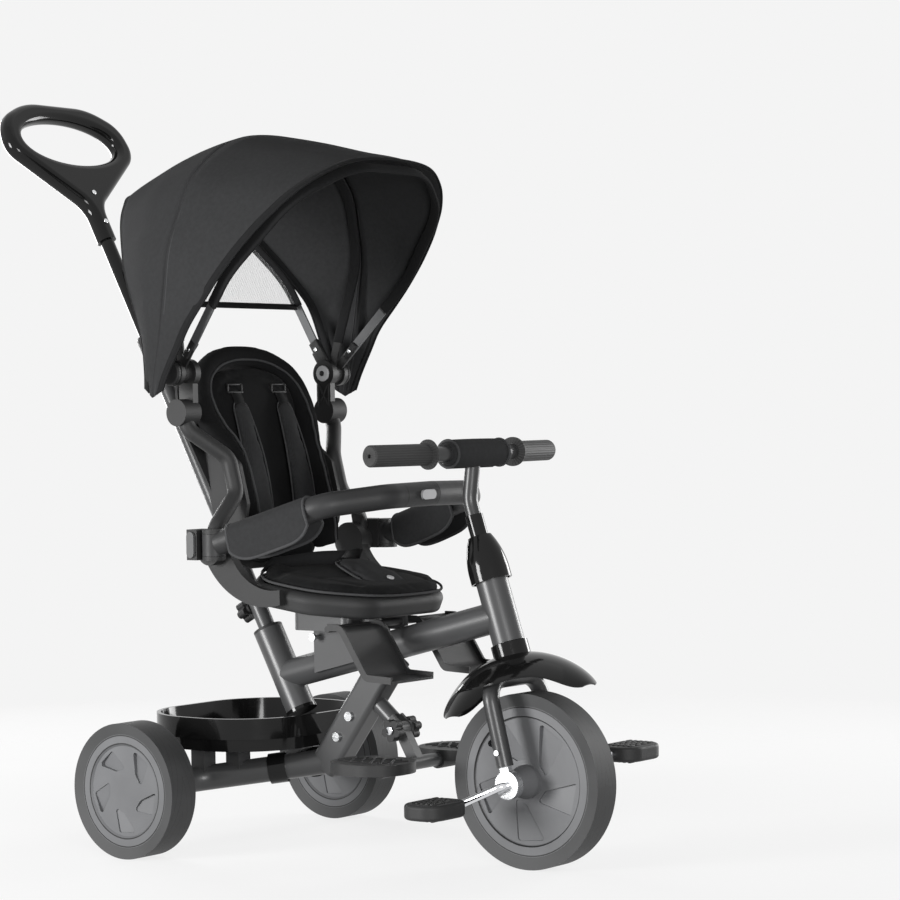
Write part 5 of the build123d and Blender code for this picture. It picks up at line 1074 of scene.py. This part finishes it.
def tongue_ring(up, inset):
    """One layer of the crotch pad, drawn in from its outline."""
    return [on_seat(p.x, p.y, tongue_lift(p.x) + up) for p in shrunk(tongue_outline, inset)]


tongue_rings = [tongue_ring(up - TONGUE_DEEP, inset) for up, inset in TONGUE_LAYERS]
tongue_mesh = soft_body("crotch_tongue", tongue_rings, 4.0, 4.0)
padding("crotch_tongue", tongue_mesh, pad_cloth, "seat", ("crotch_pad",))
piping("crotch_piping", tongue_ring(-4.5, -2.0), 1.5, "seat", True)
bm = bmesh.new()
snap = on_seat(SNAP_ALONG, 0.0, tongue_lift(SNAP_ALONG) + 4.5)
button_head(bm, snap, (0.36, 0, 0.93), 0.0058, 0.0024, 0.001)
show("crotch_snap", bm, pale_button, "seat")
for name, side in SIDES:
    lap_places = (
        (-80.0, side * 92.0, 20.0), (-58.0, side * 74.0, 27.0), (-26.0, side * 48.0, 36.0),
        (6.0, side * 22.0, 41.0),
    )
    lap = smooth_line([on_seat(*place) for place in lap_places], 20)
    ribbon(f"lap_strap_{name}", lap, (0.55, -side * 0.3, 0.75), 26.0, 1.8, webbing, "seat")

# Safety bar covers
CLIP = (-425.0, 199.0, 462.0)
BAR_CORNER = (-238.0, 170.0, 520.0)
COVER_RANGE = (0.19, 0.88)
COVER_R = 19.6
COVER_DROP = 40.0
COVER_ROWS = 15


def cover_section(drop, sway):
    """A cover's section round the bar, across and up, from one hem over the top to the other."""
    steps = [step / 6 for step in range(1, 7)]
    far = [(-(COVER_R + 1.0 + sway * step), -drop * step) for step in reversed(steps)]
    arc = [math.radians(angle) for angle in range(180, -1, -15)]
    over = [(COVER_R * math.cos(angle), COVER_R * math.sin(angle)) for angle in arc]
    near = [(COVER_R + 1.0 - sway * step, -drop * step) for step in steps]
    return far + over + near


for name, side in SIDES:
    clip = at(CLIP[0], side * CLIP[1], CLIP[2])
    way = at(BAR_CORNER[0], side * BAR_CORNER[1], BAR_CORNER[2]) - clip
    start, end = [clip + way * share for share in COVER_RANGE]
    level = way.cross(Vector((0, 0, 1))).normalized()
    rise = level.cross(way).normalized()
    across = level * -side
    rows = []
    for row in range(COVER_ROWS):
        share = row / (COVER_ROWS - 1)
        drop = COVER_DROP * (1.0 - 0.45 * abs(2 * share - 1) ** 5)
        section = cover_section(drop, 1.6 * math.sin(share * 9.0 + side))
        base = start.lerp(end, share)
        rows.append([base + (across * aside + rise * up) / 1000 for aside, up in section])
    body = f"bar_{name}"
    padding(f"bar_cover_{name}", skin(rows, False), pad_cloth, body, (f"bar_pad_{name}",), 3.2)
    rim = [row[0] for row in rows] + rows[-1][1:-1] + [row[-1] for row in reversed(rows)] + rows[0][-2:0:-1]
    piping(f"bar_cover_piping_{name}", rim, 2.4, body, True)

# Handlebar wrap: share of its half length, radius
WRAP_HALF = 63.0
WRAP_SWELL = ((1.0, 15.0), (0.97, 19.0), (0.85, 20.6), (0.5, 21.0), (0.0, 21.2))
WRAP_JOIN = 4.2


def round_bar(radius, angle, left):
    """A place round the handlebar's axis."""
    return at(BAR_AHEAD + radius * math.cos(angle), left, BAR_UP + radius * math.sin(angle))


wrap_rings = []
for share, swell in [(-share, swell) for share, swell in WRAP_SWELL] + list(WRAP_SWELL[-2::-1]):
    ring = []
    for angle in turns(28):
        dent = 1.0 - 0.05 * max(0.0, math.cos(angle - WRAP_JOIN)) ** 12
        ring.append(round_bar(swell * dent, angle, share * WRAP_HALF))
    wrap_rings.append(ring)
wrap_mesh = soft_body("handlebar_wrap", wrap_rings, 3.0, 2.0)
padding("handlebar_wrap", wrap_mesh, pad_cloth, "steering", ("handlebar_pad",))
for name, side in SIDES:
    hem = [round_bar(19.6, angle, side * 60.5) for angle in turns(24)]
    piping(f"handlebar_wrap_hem_{name}", hem, 2.0, "steering", True)
closing = [round_bar(21.9, WRAP_JOIN, left) for left in range(-56, 57, 8)]
closing_across = (math.sin(WRAP_JOIN), 0, -math.cos(WRAP_JOIN))
ribbon("handlebar_wrap_closing", closing, closing_across, 8.0, 1.2, hem_cloth, "steering")

# Pedal and footrest treads
CRANK_R = 0.07
CRANK_DROP = math.radians(24.0)
PEDAL_LEFT = 0.149
crank = Vector((math.cos(CRANK_DROP), 0, math.sin(CRANK_DROP))) * CRANK_R
for name, side in SIDES:
    bm = bmesh.new()
    axle = FRONT_HUB + side * (crank + Vector((0, PEDAL_LEFT, 0)))
    for face in (1, -1):
        for row in (-18.0, -9.0, 0.0, 9.0, 18.0):
            for column in (-24.0, -8.0, 8.0, 24.0):
                place = axle + Vector((row, column, face * 11.4)) / 1000
                block(bm, place, (0.005, 0.013, 0.003), 0.001)
    show(f"pedal_tread_{name}", bm, grip_rubber, f"pedal_{name}")

bm = bmesh.new()
for _, side in SIDES:
    sole = at(-212.0, side * 102.0, 150.6)
    for lean in (32.0, -32.0):
        turn = Matrix.Rotation(math.radians(lean), 3, "Z")
        for shift in (-36.0, -18.0, 0.0, 18.0, 36.0):
            reach = 0.07 - abs(shift) * 0.0006
            block(bm, sole + Vector((shift, 0, 0)) / 1000, (0.0035, reach, 0.0026), 0.0009, turn)
show("footrest_tread", bm, matte_black, "footrest")

# Small fasteners and trims
PUSH_LEAN = math.radians(28.4)
PUSH_TUBE_R = 0.0139
bm = bmesh.new()
push_foot = at(-467.0 - 58.0 * math.tan(PUSH_LEAN), 0, 320.0)
push_way = Vector((-math.sin(PUSH_LEAN), 0, math.cos(PUSH_LEAN)))
push_front = Vector((math.cos(PUSH_LEAN), 0, math.sin(PUSH_LEAN)))
for along in (0.726, 0.78):
    place = push_foot + push_way * along + push_front * PUSH_TUBE_R
    button_head(bm, place, push_front, 0.0042, 0.0022, 0.0008)
show("push_loop_screws", bm, zinc_plate, "push_upper")

bm = bmesh.new()
for _, side in SIDES:
    button_head(bm, at(-240.0, side * 27.3, 184.0), (0, side, 0), 0.0062, 0.003, 0.001)
show("footrest_knob_nuts", bm, bright_chrome, "footrest_knobs")

# Floor and backdrop
BACKDROP = (0.905, 0.905, 0.905, 1.0)
FLOOR_SHADE = 0.2
FLOOR_GLOW = 0.862
FADE_FROM = 1.1
AMBIENT = 0.18
floor_mesh = bmesh.new()
bmesh.ops.create_grid(floor_mesh, x_segments=1, y_segments=1, size=12.0)
floor = placed("floor", mesh_of("floor", floor_mesh))

pale = Finish("pale_floor", FLOOR_SHADE, 0.9, Specular_IOR_Level=0.0)
fx, fy, _ = pale.axes()
gone = ((fx * fx + fy * fy).of("SQRT") - FADE_FROM) * 0.9
fade = gone.of("MAXIMUM", 0.0).of("MINIMUM", 1.0)
glow = pale.node("ShaderNodeEmission", {}, {"Color": BACKDROP, "Strength": pale.eye_rays() * FLOOR_GLOW})
clear = pale.node("ShaderNodeBsdfTransparent", {}, {})
lit = pale.node("ShaderNodeAddShader", {}, {0: Signal(pale, pale.shader.outputs[0]), 1: glow})
surface = pale.node("ShaderNodeMixShader", {}, {0: fade, 1: lit, 2: clear})
pale.feed(pale.tree.nodes["Material Output"], {"Surface": surface})
floor.data.materials.append(pale.material)

world = bpy.data.worlds.new("studio")
bpy.context.scene.world = world
world.use_nodes = True
sky = Graph(world.node_tree)
strength = sky.node("ShaderNodeMix", {}, {0: sky.eye_rays(), 2: AMBIENT, 3: 1.0})
sky.feed(sky.tree.nodes["Background"], {"Color": BACKDROP, "Strength": strength})

# Soft lamps aimed at the object's middle: place, size, power
MIDDLE = Vector((0.0, 0.0, 0.55))
LAMPS = {
    "key_box": ((2.5, -2.0, 0.6), (0.9, 1.0), 55.0),
    "side_box": ((-1.0, -2.9, 0.6), (1.0, 1.0), 105.0),
    "top_box": ((-0.3, 0.4, 3.2), (2.4, 2.4), 3.0),
    "back_box": ((-2.8, 0.9, 0.9), (1.2, 1.4), 55.0),
    "left_box": ((0.9, 2.9, 0.8), (1.0, 1.4), 55.0),
}
for name, (place, size, power) in LAMPS.items():
    lamp = bpy.data.lights.new(name, "AREA")
    lamp.shape = "RECTANGLE"
    lamp.size, lamp.size_y = size
    lamp.energy = power
    holder = placed(name, lamp)
    holder.location = place
    holder.rotation_mode = "QUATERNION"
    holder.rotation_quaternion = (MIDDLE - Vector(place)).to_track_quat("-Z", "Y")

# Camera
EYE = (2.6774, -3.1047, 0.6476)
YAW = math.radians(127.729)
PITCH = math.radians(-0.774)
ROLL = math.radians(-0.982)
LENS = 108.312
look = Vector((math.cos(YAW) * math.cos(PITCH), math.sin(YAW) * math.cos(PITCH), math.sin(PITCH)))
level = Vector((math.sin(YAW), -math.cos(YAW), 0))
upright = level.cross(look)
right = level * math.cos(ROLL) + upright * math.sin(ROLL)
top = upright * math.cos(ROLL) - level * math.sin(ROLL)
lens = bpy.data.cameras.new("photo_camera")
lens.lens = LENS
lens.sensor_width = 36.0
lens.clip_end = 60.0
camera = placed("photo_camera", lens)
turn = Matrix((right, top, -look)).transposed().to_4x4()
camera.matrix_world = Matrix.Translation(EYE) @ turn
bpy.context.scene.camera = camera
bpy.context.scene.view_settings.view_transform = "Standard"
